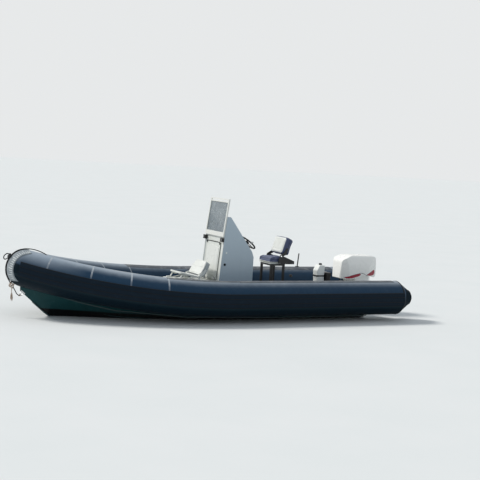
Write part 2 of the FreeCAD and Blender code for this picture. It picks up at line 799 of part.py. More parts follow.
dash_low = N.console_back + 22
shelf_end = front_at(S.front_top) - S.front_wall - 8
dash_points = [
    (dash_low, dash_at(dash_low)),
    (dash_reaches(shelf_z), shelf_z),
    (shelf_end, shelf_z),
    (shelf_end, shelf_z - dash_wall),
    (dash_reaches(shelf_z - dash_wall, dash_wall), shelf_z - dash_wall),
    (dash_low, dash_at(dash_low, dash_wall)),
]
dash = new_body("dash_panel")
pad(dash, "XZ", [dash_points], 2 * inner_half - 0.6, 0, True)
keep(dash, "console_dash")
back = new_body("back_panel")
pad(back, "XY", [[(back_x + 22, -inner_half), (back_x + 37, -inner_half),
                  (back_x + 37, inner_half), (back_x + 22, inner_half)]],
    dash_at(dash_low, dash_wall) - 0.3 - S.deck_height, S.deck_height)
keep(back, "console_back")

# Lamps on the shoulders of the console
lamps = new_body("shoulder_lamp_pair")
lamp_half = half_console - 30
for side, word in SIDES:
    low = side * (lamp_half + 30)
    high = side * (lamp_half - 36)
    pad(lamps, "YZ", [[(low, up_the_front(S.shoulder_height) - 4), (high, up_the_front(S.shoulder_height) - 4),
                       (high, up_the_front(S.front_top) - 14), (low, up_the_front(S.front_top) - 14)]],
        46, 0.5, name="lamp_" + word)
on_console_front(lamps)
keep(lamps, "shoulder_lamps")

# Windscreen: frame with bottom rim and a second bar under the top, and the pane
screen_half = S.screen_width / 2
screen_low = up_the_front(S.front_top) + 2
rim = S.screen_rim
frame = new_body("screen_frame")
second_bar = S.screen_tall - 62
pad(frame, "YZ", [
    [(-screen_half, 0), (screen_half, 0), (screen_half, S.screen_tall), (-screen_half, S.screen_tall)],
    [(-screen_half + rim, S.screen_foot), (screen_half - rim, S.screen_foot),
     (screen_half - rim, second_bar), (-screen_half + rim, second_bar)],
    [(-screen_half + rim, second_bar + 20), (screen_half - rim, second_bar + 20),
     (screen_half - rim, S.screen_tall - 24), (-screen_half + rim, S.screen_tall - 24)],
], S.screen_depth)
frame.Placement = lean_about(number(front_at(S.front_top)) + 0.3, N.front_top + 3, N.screen_lean)
keep(frame, "windscreen_frame")
pane = new_body("screen_pane")
pad(pane, "YZ", [[(-screen_half + rim + 0.3, S.screen_foot + 0.3), (screen_half - rim - 0.3, S.screen_foot + 0.3),
                  (screen_half - rim - 0.3, second_bar - 0.3), (-screen_half + rim + 0.3, second_bar - 0.3)]],
    5, 9)
pane.Placement = frame.Placement
keep(pane, "windscreen_pane")

# Steering: a hub on the dash and a wheel that turns on its shaft
wheel_place = Placement(Vector(N.wheel_x, 0, N.wheel_z), Rotation(ALONG_Y, -N.wheel_tilt))
hub = new_body("helm_hub")
turned(hub, "XZ", [[(0, -S.column_length + 0.3), (62, -S.column_length + 0.3), (62, -80), (36, -56),
                    (S.helm_bore, -56), (S.helm_bore, -4), (0, -4)]],
       "V_Axis")
hub.Placement = wheel_place
keep(hub, "steering_hub")

wheel_rim = Part.makeTorus(N.wheel_radius - N.wheel_grip, N.wheel_grip, Vector(0, 0, 0), ALONG_Z)
wheel_boss = Part.makeCylinder(38, 62, Vector(0, 0, -50), ALONG_Z)
wheel_bore = Part.makeCylinder(N.helm_bore + N.running_gap, 62, Vector(0, 0, -60), ALONG_Z)
spokes = []
for turn in (60, 180, 300):
    spoke = Part.makeBox(N.wheel_radius - N.wheel_grip, 24, 8, Vector(0, -12, -4))
    spoke.rotate(Vector(0, 0, 0), ALONG_Z, turn)
    spokes.append(spoke)
wheel = wheel_rim.fuse([wheel_boss] + spokes).cut(wheel_bore).removeSplitter()
formed("steering_wheel", wheel, wheel_place)

# Throttle box and lever on the port wing of the dash
throttle = new_body("throttle_body")
throttle_y = inner_half - 70
box_low = S.console_back + 110
box_rise = 78
pad(throttle, "XZ", [[(box_low, dash_at(box_low, -0.3)), (box_low + 120, dash_at(box_low + 120, -0.3)),
                      (box_low + 80, dash_at(box_low + 80, -box_rise)), (box_low - 30, dash_at(box_low - 30, -box_rise))]],
    90, throttle_y, True)
round_edges(throttle, along(ALONG_Y), 12)
keep(throttle, "throttle_box")
lever_start = Vector(number(box_low) + 20, number(throttle_y) + 45.3, number(dash_at(box_low + 20, -box_rise / 2)))
lever_run = Vector(-110, 0, 70)
lever_hub = Part.makeCylinder(13, 22, lever_start, ALONG_Y)
lever_middle = lever_start + Vector(0, 11, 0)
lever_arm = Part.makeCylinder(5.5, lever_run.Length, lever_middle, lever_run)
lever_grip = Part.makeCylinder(12, 44, lever_middle + lever_run - Vector(0, 22, 0), ALONG_Y)
formed("throttle_lever", lever_hub.fuse([lever_arm, lever_grip]).removeSplitter())

# Helm seat: frame of square tube, hinge plate, cushion and back
half_tube = S.seat_tube / 2
leg_x = (S.seat_front - 50, S.seat_front - 290)
leg_y = S.seat_width / 2 - 45
frame_top = S.seat_top - S.seat_cushion - 12
seat_frame = new_body("helm_frame")
for side, word in SIDES:
    for k, x in enumerate(leg_x):
        y = side * leg_y
        pad(seat_frame, "XY", [[(x - half_tube, y - half_tube), (x + half_tube, y - half_tube),
                                (x + half_tube, y + half_tube), (x - half_tube, y + half_tube)]],
            frame_top - S.deck_height, S.deck_height, name="leg_%s_%d" % (word, k))
ring_levels = (frame_top - S.seat_tube, S.deck_height + 110)
for k, level in enumerate(ring_levels):
    outer_x = (leg_x[1] - half_tube, leg_x[0] + half_tube)
    pad(seat_frame, "XY", [
        [(outer_x[0], -leg_y - half_tube), (outer_x[1], -leg_y - half_tube),
         (outer_x[1], leg_y + half_tube), (outer_x[0], leg_y + half_tube)],
        [(outer_x[0] + S.seat_tube, -leg_y + half_tube), (outer_x[1] - S.seat_tube, -leg_y + half_tube),
         (outer_x[1] - S.seat_tube, leg_y - half_tube), (outer_x[0] + S.seat_tube, leg_y - half_tube)],
    ], S.seat_tube, level, name="ring_%d" % k)
keep(seat_frame, "helm_seat_frame")

seat_base = new_body("helm_base")
pad(seat_base, "XY", [[(S.seat_front - S.seat_length, -S.seat_width / 2 + 15), (S.seat_front - 15, -S.seat_width / 2 + 15),
                       (S.seat_front - 15, S.seat_width / 2 - 15), (S.seat_front - S.seat_length, S.seat_width / 2 - 15)]],
    11.7, frame_top)
keep(seat_base, "helm_seat_base")

cushion = new_body("helm_cushion")
pad(cushion, "XY", [[(S.seat_front - S.seat_length, -S.seat_width / 2), (S.seat_front, -S.seat_width / 2),
                     (S.seat_front, S.seat_width / 2), (S.seat_front - S.seat_length, S.seat_width / 2)]],
    S.seat_cushion, S.seat_top - S.seat_cushion)
round_edges(cushion, lambda edge: True, 26)
keep(cushion, "helm_seat_cushion")

pivot_x = S.seat_pivot_x
pivot_z = S.seat_pivot_z
arm_y = S.seat_width / 2 + 4
arm_wall = 6
plate_y = arm_y + arm_wall / 2 + 5 + 4
hinge = new_body("helm_hinge")
seat_back_x = S.seat_front - S.seat_length
for side, word in SIDES:
    pad(hinge, "XZ", [[(seat_back_x - 110, frame_top), (pivot_x + 30, frame_top), (pivot_x + 50, frame_top + 30),
                       (pivot_x + 16, pivot_z + 14), (pivot_x - 16, pivot_z + 14), (seat_back_x - 60, frame_top + 70),
                       (seat_back_x - 110, frame_top + 50)]],
        8, side * plate_y, True, name="plate_" + word)
    pad(hinge, "XZ", [("circle", pivot_x, pivot_z, 9)], 24, side * (plate_y - 4), True, name="stub_" + word)
pad(hinge, "XY", [[(seat_back_x - 110, -plate_y - 4), (seat_back_x, -plate_y - 4),
                   (seat_back_x, plate_y + 4), (seat_back_x - 110, plate_y + 4)]],
    12, frame_top, name="bridge")
keep(hinge, "helm_seat_hinge")

back_place = lean_about(N.seat_pivot_x, N.seat_pivot_z, N.back_lean)
shell = new_body("helm_back_shell_body")
half_back = arm_y - arm_wall / 2 - 0.3
back_low = 48
pad(shell, "YZ", [[(-half_back, back_low), (half_back, back_low), (half_back, S.back_height + back_low),
                   (-half_back, S.back_height + back_low)]], 130, -148)
round_edges(shell, along(ALONG_X), 46)
shell.Placement = back_place
keep(shell, "helm_back_shell")
pad_body = new_body("helm_back_pad_body")
panel_inset = 26
panel_half = half_back - panel_inset
panel_low = back_low + panel_inset / 2
panel_high = back_low + S.back_height - panel_inset / 2
pad(pad_body, "YZ", [[(-panel_half, panel_low), (panel_half, panel_low), (panel_half, panel_high), (-panel_half, panel_high)]],
    17.7, -17.7)
round_edges(pad_body, along(ALONG_X), 44)
pad_body.Placement = back_place
keep(pad_body, "helm_back_pad")
arms = new_body("helm_back_arms")
for side, word in SIDES:
    pad(arms, "XZ", [
        [(-15, -15), (15, -15), (15, 15), (-40, 80), (-60, 170), (-95, 170), (-95, 60)],
        ("circle", 0, 0, 9 + S.running_gap),
    ], arm_wall, side * arm_y, True, name="arm_" + word)
arms.Placement = back_place
keep(arms, "helm_back_bracket")

# Forward seat on its locker
locker = new_body("seat_locker_body")
locker_half = S.locker_width / 2
locker_loop = [(S.locker_back, -locker_half), (S.locker_front, -locker_half),
               (S.locker_front, locker_half), (S.locker_back, locker_half)]
pad(locker, "XY", [locker_loop], S.locker_top - S.deck_height, S.deck_height)
round_edges(locker, near(ALONG_Z, locker_loop, "XY"), 40)
keep(locker, "seat_locker")

pan_place = lean_about(N.pan_pivot_x, N.pan_pivot_z, N.pan_tilt)
pan = new_body("forward_pan")
pan_half = S.pan_width / 2
pan_pin = 8
pan_loop = [(-10, -pan_half + 26), (S.pan_length - 70, -pan_half + 26),
            (S.pan_length - 70, pan_half - 26), (-10, pan_half - 26)]
pad(pan, "XY", [pan_loop], S.pan_thickness, -S.pan_thickness - pan_pin)
round_edges(pan, near(ALONG_Z, pan_loop[1:3], "XY"), 50)
for side, word in SIDES:
    pad(pan, "XZ", [[(-14, -S.pan_thickness), (14, -S.pan_thickness), (14, 12), (-14, 12)]],
        8, side * (pan_half - 30), True, name="lug_" + word)
pocket(pan, "XZ", [("circle", 0, 0, pan_pin + S.running_gap)], S.pan_width, 0, name="bore")
pan.Placement = pan_place
keep(pan, "forward_seat_pan")

fold_place = lean_about(N.pan_pivot_x, N.pan_pivot_z, N.pan_back_lean)
seat_back = new_body("forward_back")
fold_arm_y = pan_half - 20
fold_arm_wall = 8
cushion_half = fold_arm_y - fold_arm_wall / 2 - 0.3
top_half = cushion_half - S.pan_back_taper
arm_top = 150
back_loop = [(-cushion_half, 26), (cushion_half, 26), (cushion_half, arm_top), (top_half, S.pan_back_height),
             (-top_half, S.pan_back_height), (-cushion_half, arm_top)]
pad(seat_back, "YZ", [back_loop], S.pan_back_thick, -S.pan_back_thick)
round_edges(seat_back, along(ALONG_X), 42)
seat_back.Placement = fold_place
keep(seat_back, "forward_seat_back")
fold_arms = new_body("forward_arms")
for side, word in SIDES:
    pad(fold_arms, "XZ", [
        [(-14, -14), (14, -14), (14, 14), (-20, 70), (-40, arm_top), (-70, arm_top), (-70, 60)],
        ("circle", 0, 0, pan_pin + S.running_gap),
    ], fold_arm_wall, side * fold_arm_y, True, name="arm_" + word)
fold_arms.Placement = fold_place
keep(fold_arms, "forward_seat_arms")

stand = new_body("forward_stand")
cheek_y = pan_half - 6
stand_x = S.pan_pivot_x
stand_z = S.pan_pivot_z
for side, word in SIDES:
    pad(stand, "XZ", [
        [(stand_x - 40, S.locker_top), (stand_x + 60, S.locker_top), (stand_x + 60, S.locker_top + 8),
         (stand_x + 18, S.locker_top + 20), (stand_x + 18, stand_z + 16), (stand_x - 18, stand_z + 16),
         (stand_x - 18, S.locker_top + 20), (stand_x - 40, S.locker_top + 8)],
        ("circle", stand_x, stand_z, pan_pin),
    ], 8, side * (cheek_y + 4), True, name="cheek_" + word)
keep(stand, "forward_seat_cheeks")
pin_length = 2 * number(cheek_y) + 16
formed("forward_seat_pin", Part.makeCylinder(pan_pin, pin_length, Vector(N.pan_pivot_x, -pin_length / 2, N.pan_pivot_z), ALONG_Y))

# Prop under the front of the forward seat's pan
prop_reach = N.pan_length - 110
prop_slope = math.radians(N.pan_tilt)
prop_rod = 12
foot_plate = 8
pan_under = (N.pan_thickness + pan_pin + prop_rod) / math.cos(prop_slope) + 0.3
prop_top = Vector(N.pan_pivot_x + prop_reach * math.cos(prop_slope), 0,
                  N.pan_pivot_z + prop_reach * math.sin(prop_slope) - pan_under)
prop_foot = Vector(prop_top.x + 40, 0, N.locker_top + foot_plate + prop_rod)
props = []
prop_inset = 60
prop_arm = 70
for side, word in SIDES:
    shift = Vector(0, side * (N.pan_width / 2 - prop_inset), 0)
    props.append(bent_rod([prop_top + shift - Vector(prop_arm, 0, prop_arm * math.tan(prop_slope)), prop_top + shift,
                           prop_foot + shift, prop_foot + shift + Vector(prop_arm, 0, 0)], 18, radius=prop_rod))
plate_length = 130
plate = Part.makeBox(plate_length, N.pan_width - prop_inset, foot_plate + 4,
                     Vector(prop_foot.x - prop_rod, (prop_inset - N.pan_width) / 2, N.locker_top + 0.3))
formed("forward_seat_prop", plate.fuse(props).removeSplitter())

# Oil tank
tank = new_body("oil_tank_body")
tank_aft = S.tank_x - S.tank_length / 2
tank_fore = S.tank_x + S.tank_length / 2
tank_top = S.deck_height + S.tank_height
tank_loop = [(tank_aft, S.deck_height), (tank_fore - 36, S.deck_height), (tank_fore, tank_top - 95),
             (tank_fore - 48, tank_top), (tank_aft, tank_top)]
pad(tank, "XZ", [tank_loop], S.tank_width, S.tank_y, True)
round_edges(tank, lambda edge: True, 14)
keep(tank, "oil_tank")
cap = new_body("oil_tank_cap_body")
pad(cap, "XY", [("circle", tank_aft + 50, S.tank_y, 26)], 24, tank_top)
keep(cap, "oil_tank_cap")
battery = new_body("battery_box_body")
battery_aft = tank_aft - S.battery_length - 12
battery_y = S.tank_y
battery_lid = 60
battery_rim = 5
pad(battery, "XY", [[(battery_aft, battery_y - S.battery_width / 2), (battery_aft + S.battery_length, battery_y - S.battery_width / 2),
                     (battery_aft + S.battery_length, battery_y + S.battery_width / 2), (battery_aft, battery_y + S.battery_width / 2)]],
    S.battery_height, S.deck_height)
round_edges(battery, along(ALONG_Z), 22)
pad(battery, "XY", [[(battery_aft - battery_rim, battery_y - S.battery_width / 2 - battery_rim),
                     (battery_aft + S.battery_length + battery_rim, battery_y - S.battery_width / 2 - battery_rim),
                     (battery_aft + S.battery_length + battery_rim, battery_y + S.battery_width / 2 + battery_rim),
                     (battery_aft - battery_rim, battery_y + S.battery_width / 2 + battery_rim)]],
    battery_lid, S.deck_height + S.battery_height - battery_lid, name="lid")
keep(battery, "battery_box")

# Stern light pole on the starboard tube
pole_x = 350
pole_foot = Vector(pole_x, -N.tube_spacing, N.tube_height + N.tube_radius)
pole_base = Part.makeCylinder(38, 24, pole_foot + Vector(0, 0, -12), ALONG_Z)
pole_rod = Part.makeCylinder(N.pole_radius, N.pole_height, pole_foot, Vector(-0.09, 0, 1))
pole_top = Part.makeCylinder(20, 44, pole_foot + Vector(-0.09, 0, 1) * N.pole_height, Vector(-0.09, 0, 1))
pole = pole_base.fuse([pole_rod, pole_top])
tread_top = N.tube_radius + 2 * N.skin_gap + N.tread_thickness
pole = pole.cut(tube_solid(-1, tread_top, N.cone_start))
formed("stern_light_pole", max(pole.Solids, key=lambda solid: solid.Volume))

# Motor bracket clamped over the transom, with the tilt tube
clamp = new_body("clamp_body")
clamp_foot = S.deck_height + (S.transom_height - S.deck_height) * 0.32
clamp_loop = [
    (82, clamp_foot), (82, S.transom_height + 14), (0, S.tilt_z + 30), (-62, S.tilt_z + 30),
    (-78, S.tilt_z - 40), (-70, 190), (-18, 170), (0, 190), (0, S.transom_height),
    (S.transom_thickness + 6, S.transom_height), (S.transom_thickness + 6, clamp_foot),
]
for side, word in SIDES:
    y = side * (S.clamp_spacing + S.clamp_plate / 2)
    pad(clamp, "XZ", [clamp_loop], S.clamp_plate, y, True, name="plate_" + word)
pad(clamp, "XZ", [("circle", S.tilt_x, S.tilt_z, S.tilt_tube)], 2 * (S.clamp_spacing + S.clamp_plate) + 30, 0, True,
    name="tube")
for side, word in SIDES:
    y = side * (S.clamp_spacing + S.clamp_plate / 2)
    z = clamp_foot + (S.transom_height - clamp_foot) * 0.4
    pad(clamp, "YZ", [("circle", y, z, 16)], 40, S.transom_thickness, name="screw_" + word)
keep(clamp, "clamp_bracket")

# Swivel bracket: an eye on the tilt tube and the tube for the steering pin
swivel = new_body("swivel_body")
pad(swivel, "XY", [("circle", S.steer_x, 0, S.swivel_radius)], S.swivel_high - S.swivel_low, S.swivel_low, name="barrel")
pad(swivel, "XZ", [("circle", S.tilt_x, S.tilt_z, 28)], 2 * S.clamp_spacing - 16, 0, True, name="eye")
pad(swivel, "XZ", [[(S.tilt_x - 22, S.tilt_z - 16), (S.tilt_x + 16, S.tilt_z - 22), (S.steer_x + 20, S.swivel_low + 60),
                    (S.steer_x, S.swivel_low + 60), (S.steer_x, S.swivel_high - 10), (S.tilt_x - 30, S.swivel_high - 10)]],
    60, 0, True, name="web")
pocket(swivel, "XY", [("circle", S.steer_x, 0, S.steer_pin + S.running_gap)], 1000, S.swivel_low, name="pin_bore")
pocket(swivel, "XZ", [("circle", S.tilt_x, S.tilt_z, S.tilt_tube + S.running_gap)], 400, 0, name="tilt_bore")
keep(swivel, "swivel_bracket")

# Motor leg: steering pin, yokes, housing, plate, gear case and skeg
yoke_high = S.swivel_high + 6
leg = new_body("leg_body")
half_leg = S.leg_width / 2
leg_middle = (S.leg_front + S.leg_back) / 2
pad(leg, "XY", [[(S.leg_front, -22), (S.leg_front, 22), (S.leg_front - 60, half_leg), (leg_middle - 30, half_leg),
                 (S.leg_back, 12), (S.leg_back, -12), (leg_middle - 30, -half_leg), (S.leg_front - 60, -half_leg)]],
    S.cowl_bottom - 60 - S.plate_level, S.plate_level, name="housing")
pad(leg, "XY", [("circle", S.steer_x, 0, S.steer_pin)], yoke_high + 20 - S.swivel_low + 26, S.swivel_low - 26, name="pin")
pad(leg, "XY", [[(S.steer_x + 24, -24), (S.steer_x + 24, 24), (S.leg_front - 50, 40), (S.leg_front - 50, -40)]],
    34, yoke_high, name="upper_yoke")
pad(leg, "XY", [[(S.steer_x + 22, -22), (S.steer_x + 22, 22), (S.leg_front - 50, 34), (S.leg_front - 50, -34)]],
    28, S.swivel_low - 35, name="lower_yoke")
plate_loop = [(S.leg_front + 10, -30), (S.leg_front + 10, 30), (S.leg_back + 60, 110), (S.leg_back - 170, 110),
              (S.leg_back - 200, 80), (S.leg_back - 200, -80), (S.leg_back - 170, -110), (S.leg_back + 60, -110)]
pad(leg, "XY", [plate_loop], 9, S.plate_level - 4, name="plate")
pad(leg, "XY", [[(S.leg_front - 2, -8), (S.leg_front - 2, 8), (S.leg_front - 60, 34), (S.leg_back + 40, 34),
                 (S.leg_back - 30, 8), (S.leg_back - 30, -8), (S.leg_back + 40, -34), (S.leg_front - 60, -34)]],
    S.plate_level - S.shaft_level, S.shaft_level, name="strut")
pad(leg, "XZ", [[(S.leg_front - 30, S.shaft_level), (S.leg_back - 20, S.shaft_level), (S.leg_back + 10, S.skeg_level),
                 (S.leg_back + 75, S.skeg_level), (S.leg_front - 60, S.shaft_level - 60)]],
    12, 0, True, name="skeg")
doc.recompute()
gear = Part.makeCylinder(N.gear_radius, 210, Vector(N.leg_back - 62, 0, N.shaft_level), ALONG_X)
nose_cone = Part.makeCone(N.gear_radius, 14, 110, Vector(N.leg_back + 148, 0, N.shaft_level), ALONG_X)
shaft = Part.makeCylinder(14, 140, Vector(N.prop_x - 48, 0, N.shaft_level), ALONG_X)
leg_shape = leg.Shape.fuse([gear, nose_cone, shaft]).removeSplitter()
formed("motor_leg", leg_shape)

# Cowl: what its side, plan and end outlines have in common
COWL_SIDE = [
    # x, z, corner radius
    (N.cowl_front, N.cowl_bottom, 12), (N.cowl_front - 24, N.cowl_top - 75, 95), (N.cowl_front - 210, N.cowl_top, 260),
    (N.cowl_back + 50, N.cowl_top - 8, 85), (N.cowl_back, N.cowl_bottom + 130, 45), (N.cowl_back + 60, N.cowl_bottom + 20, 30),
    (N.cowl_back + 130, N.cowl_bottom + 40, 20), (N.cowl_front - 430, N.cowl_bottom + 60, 60),
    (N.cowl_front - 200, N.cowl_bottom, 60),
]
half_cowl = N.cowl_width / 2
cowl_bulge = half_cowl + 15
COWL_PLAN = [
    # x, y, corner radius
    (N.cowl_front, -half_cowl * 0.52, 75), (N.cowl_front, half_cowl * 0.52, 75),
    (N.cowl_front - 150, cowl_bulge, 150), (N.cowl_back + 290, cowl_bulge, 200),
    (N.cowl_back, half_cowl * 0.68, 75), (N.cowl_back, -half_cowl * 0.68, 75),
    (N.cowl_back + 290, -cowl_bulge, 200), (N.cowl_front - 150, -cowl_bulge, 150),
]
cowl_shoulder = half_cowl - 12
COWL_END = [
    # y, z, corner radius
    (-half_cowl, N.cowl_bottom - 50, 5), (half_cowl, N.cowl_bottom - 50, 5),
    (cowl_shoulder, N.cowl_top - 158, 130), (half_cowl * 0.7, N.cowl_top + 14, 80),
    (-half_cowl * 0.7, N.cowl_top + 14, 80), (-cowl_shoulder, N.cowl_top - 158, 130),
]


def cowl_form(inward):
    """The cowl's outside moved inward by a distance."""
    side = rounded_loop(COWL_SIDE, inward, lambda a, b: Vector(a, -N.cowl_width, b))
    plan = rounded_loop(COWL_PLAN, inward, lambda a, b: Vector(a, b, 0))
    end = rounded_loop(COWL_END, inward, lambda a, b: Vector(2 * N.cowl_back, a, b))
    form = side.extrude(Vector(0, 2 * N.cowl_width, 0))
    form = form.common(plan.extrude(Vector(0, 0, 2 * N.cowl_top)))
    return form.common(end.extrude(Vector(-4 * N.cowl_back, 0, 0)))


formed("motor_cowl", cowl_form(0).cut(cowl_form(N.cowl_wall)))

# Engine, one plain block on the floor of the cowl
engine_space = Part.makeBox(N.engine_length, N.engine_width, N.engine_top - N.cowl_bottom,
                            Vector(N.cowl_front - 110 - N.engine_length, -N.engine_width / 2, N.cowl_bottom))
formed("engine_block", cowl_form(N.cowl_wall + N.skin_gap).common(engine_space))

# Apron between the cowl and the leg, narrow where it turns over the bracket
apron = new_body("apron_body")
apron_half = S.cowl_width / 2 - 45
apron_loop = [(S.steer_x + 60, -50), (S.steer_x + 60, 50), (S.steer_x - 10, 92), (S.steer_x - 26, apron_half),
              (S.cowl_back + 190, apron_half), (S.cowl_back + 110, apron_half - 70),
              (S.cowl_back + 110, -apron_half + 70), (S.cowl_back + 190, -apron_half),
              (S.steer_x - 26, -apron_half), (S.steer_x - 10, -92)]
apron_drop = 59.5
apron_rise = 75
pad(apron, "XY", [apron_loop], apron_drop + apron_rise, S.cowl_bottom - apron_drop)
round_edges(apron, near(ALONG_Z, apron_loop[4:8], "XY"), 30)
doc.recompute()
apron_shape = apron.Shape.cut(cowl_form(-N.skin_gap))
formed("motor_apron", max(apron_shape.Solids, key=lambda solid: solid.Volume))

# Propeller: hub and three skewed blades
hub_length = 92
prop_hub = Part.makeCone(44, 36, hub_length, Vector(hub_length / 2, 0, 0), Vector(-1, 0, 0))
prop_pitch = 2.2 * N.prop_radius
BLADE_SECTIONS = [
    # share of the propeller's radius, chord, thickness, sweep
    (0.18, 62, 13, 0), (0.48, 104, 9, 3), (0.78, 112, 6.5, 14), (0.98, 50, 3.5, 36),
]


def blade_section(share, chord, thick, sweep):
    """A lens on a plane square to the blade, turned to the pitch at its radius."""
    radius = share * N.prop_radius
    pitch_angle = math.atan(prop_pitch / (2 * math.pi * radius))
    across = Vector(math.sin(pitch_angle), math.cos(pitch_angle), 0)
    through = Vector(math.cos(pitch_angle), -math.sin(pitch_angle), 0)
    middle = Vector(0, sweep, radius)
    start = middle - across * (chord / 2)
    end = middle + across * (chord / 2)
    return Part.Wire([Part.Arc(start, middle + through * (thick / 2), end).toShape(),
                      Part.Arc(end, middle - through * (thick / 2), start).toShape()])


blade = Part.makeLoft([blade_section(*row) for row in BLADE_SECTIONS], True, False)
blades = []
for turn in (0, 120, 240):
    turned_blade = blade.copy()
    turned_blade.rotate(Vector(0, 0, 0), ALONG_X, turn)
    blades.append(turned_blade)
prop_bore = Part.makeCylinder(14 + N.running_gap, 200, Vector(-100, 0, 0), ALONG_X)
propeller = prop_hub.fuse(blades).cut(prop_bore).removeSplitter()
formed("propeller", propeller, Placement(Vector(N.prop_x, 0, N.shaft_level), Rotation()))

# Bow eye on the stem
stem_run = Vector(STEM_TOP_X - 5400, 0, STEM_TOP_Z).normalize()
stem_out = Vector(stem_run.z, 0, -stem_run.x)
eye_middle = Vector(STEM_TOP_X, 0, STEM_TOP_Z) - stem_run * 45
eye_half = 22
eye_reach = 46
eye_path = [eye_middle + stem_run * eye_half, eye_middle + stem_run * eye_half + stem_out * eye_reach,
            eye_middle - stem_run * eye_half + stem_out * eye_reach, eye_middle - stem_run * eye_half]
bow_eye = bent_rod(eye_path, 20, radius=N.eye_rod)
eye_plate = Part.makeBox(24, 30, 84, Vector(-20, -15, -42))
eye_plate.Placement = Placement(eye_middle, Rotation(stem_out, ALONG_Y, stem_run, "XZY"))
bow_eye = bow_eye.fuse(eye_plate).cut(hull)
formed("bow_eye", max(bow_eye.Solids, key=lambda solid: solid.Volume))

# Bow rope, on the centreline: from the cleat on the foredeck over the nose to the knot
ROPE_ROUTE = [
    # along the boat and up, from the nose; the first point is over the cleat
    (-N.cleat_setback, -168), (-720, -112), (-605, -43), (-507, 47), (-418, 146), (-310, 227), (-175, 282), (-35, 305),
    (80, 293), (152, 263), (215, 214), (263, 152), (293, 79), (303, 1), (293, -78), (263, -152),
    (220, -220),
]
STRAY_ROUTE = [
    (170, -290), (136, -345), (108, -400), (68, -422),
]
TAIL_ROUTE = [
    (190, -298), (197, -350), (184, -397), (190, -444),
]


def cord(label, route, radius):
    """A cord on the centreline: straight runs joined by arcs as large as the runs allow."""
    points = [Vector(NOSE_X + x, 0, NOSE_Z + z) for x, z in route]
    bends = []
    for i in range(1, len(points) - 1):
        back = points[i - 1] - points[i]
        ahead = points[i + 1] - points[i]
        turn = math.pi - back.getAngle(ahead)
        bends.append(0.45 * min(back.Length, ahead.Length) / math.tan(turn / 2))
    print(label, "bend radii", [round(b) for b in bends])
    solid = bent_rod(points, bends, radius=radius)
    length = rounded_path(points, bends).Length
    print(label, "length", round(length), "volume ratio",
          round(solid.Volume / (math.pi * radius ** 2 * length), 4))
    formed(label, solid)
    return solid


bow_rope = cord("bow_rope", ROPE_ROUTE, N.rope_radius)
stray = cord("rope_to_eye", STRAY_ROUTE, N.rope_radius)
tail = cord("rope_tail", TAIL_ROUTE, N.tail_radius)
knot_middle = Vector(NOSE_X + 190, 0, NOSE_Z - 270)
knot = Part.makeSphere(N.knot_radius, knot_middle)
knot = knot.fuse(Part.makeCylinder(15, 40, knot_middle + Vector(18, 0, 30), Vector(20, 0, 40)))
for piece in (bow_rope, stray, tail):
    knot = knot.cut(piece)
formed("rope_knot", max(knot.Solids, key=lambda solid: solid.Volume))
hitch = Part.makeSphere(17, eye_middle + stem_out * (eye_reach + 4))
hitch = hitch.cut(bent_rod(eye_path, 20, radius=N.eye_rod + N.skin_gap)).cut(stray)
formed("rope_hitch", max(hitch.Solids, key=lambda solid: solid.Volume))

cleat_top = Vector(NOSE_X + ROPE_ROUTE[0][0], 0, NOSE_Z + ROPE_ROUTE[0][1])
cleat = Part.makeCylinder(16, cleat_top.z - N.foredeck_height, Vector(cleat_top.x, 0, N.foredeck_height))
horn = Part.makeCylinder(9, N.cleat_width, Vector(cleat_top.x, -N.cleat_width / 2, cleat_top.z - 16), ALONG_Y)
foot = Part.makeCylinder(30, 8, Vector(cleat_top.x, 0, N.foredeck_height))
formed("foredeck_cleat", cleat.fuse([horn, foot]).cut(bow_rope).removeSplitter())

doc.recompute()

# Write each sub-part after checking it
os.makedirs("parts", exist_ok=True)
for item in doc.Objects:
    if "Invalid" in item.State or "Error" in item.State:
        raise RuntimeError("%s did not compute: %s" % (item.Label, item.State))
for piece in PIECES:
    if piece.Shape.isNull() or not piece.Shape.isValid():
        raise RuntimeError("%s has no valid shape" % piece.Label)
    piece.Shape.exportStep("parts/%s.step" % piece.Label)
    print(piece.Label, len(piece.Shape.Solids), round(piece.Shape.Volume / 1e6, 3), "litres")
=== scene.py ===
import math
import random

import bmesh
import bpy
from mathutils import Matrix, Vector
from mathutils.bvhtree import BVHTree


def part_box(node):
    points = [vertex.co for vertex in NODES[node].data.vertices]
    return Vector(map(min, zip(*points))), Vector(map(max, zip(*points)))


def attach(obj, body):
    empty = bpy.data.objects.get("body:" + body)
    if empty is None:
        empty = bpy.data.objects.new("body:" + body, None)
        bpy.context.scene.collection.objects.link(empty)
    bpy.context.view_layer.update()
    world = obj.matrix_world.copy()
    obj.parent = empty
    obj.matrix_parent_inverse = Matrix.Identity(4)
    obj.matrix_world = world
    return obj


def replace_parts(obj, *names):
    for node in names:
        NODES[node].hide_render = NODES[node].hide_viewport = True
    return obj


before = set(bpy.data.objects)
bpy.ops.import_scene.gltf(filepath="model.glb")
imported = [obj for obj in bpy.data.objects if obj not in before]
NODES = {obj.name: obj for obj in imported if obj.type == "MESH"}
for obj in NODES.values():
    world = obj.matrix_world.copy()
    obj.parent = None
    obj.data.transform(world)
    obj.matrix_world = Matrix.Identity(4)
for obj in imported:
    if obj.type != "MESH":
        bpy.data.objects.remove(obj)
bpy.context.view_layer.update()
scene = bpy.context.scene
UP = Vector((0, 0, 1))
ACROSS = Vector((0, 1, 0))

# The camera in the boat's frame: metres, radians, and the focal length in pixels of the picture
CAMERA_PLACE = (10.867, 16.3, 2.697)
YAW, PITCH, ROLL = 0.493, 0.079, -0.060
FOCAL_PX, PICTURE_PX, SENSOR_MM = 1104.7, 480, 36

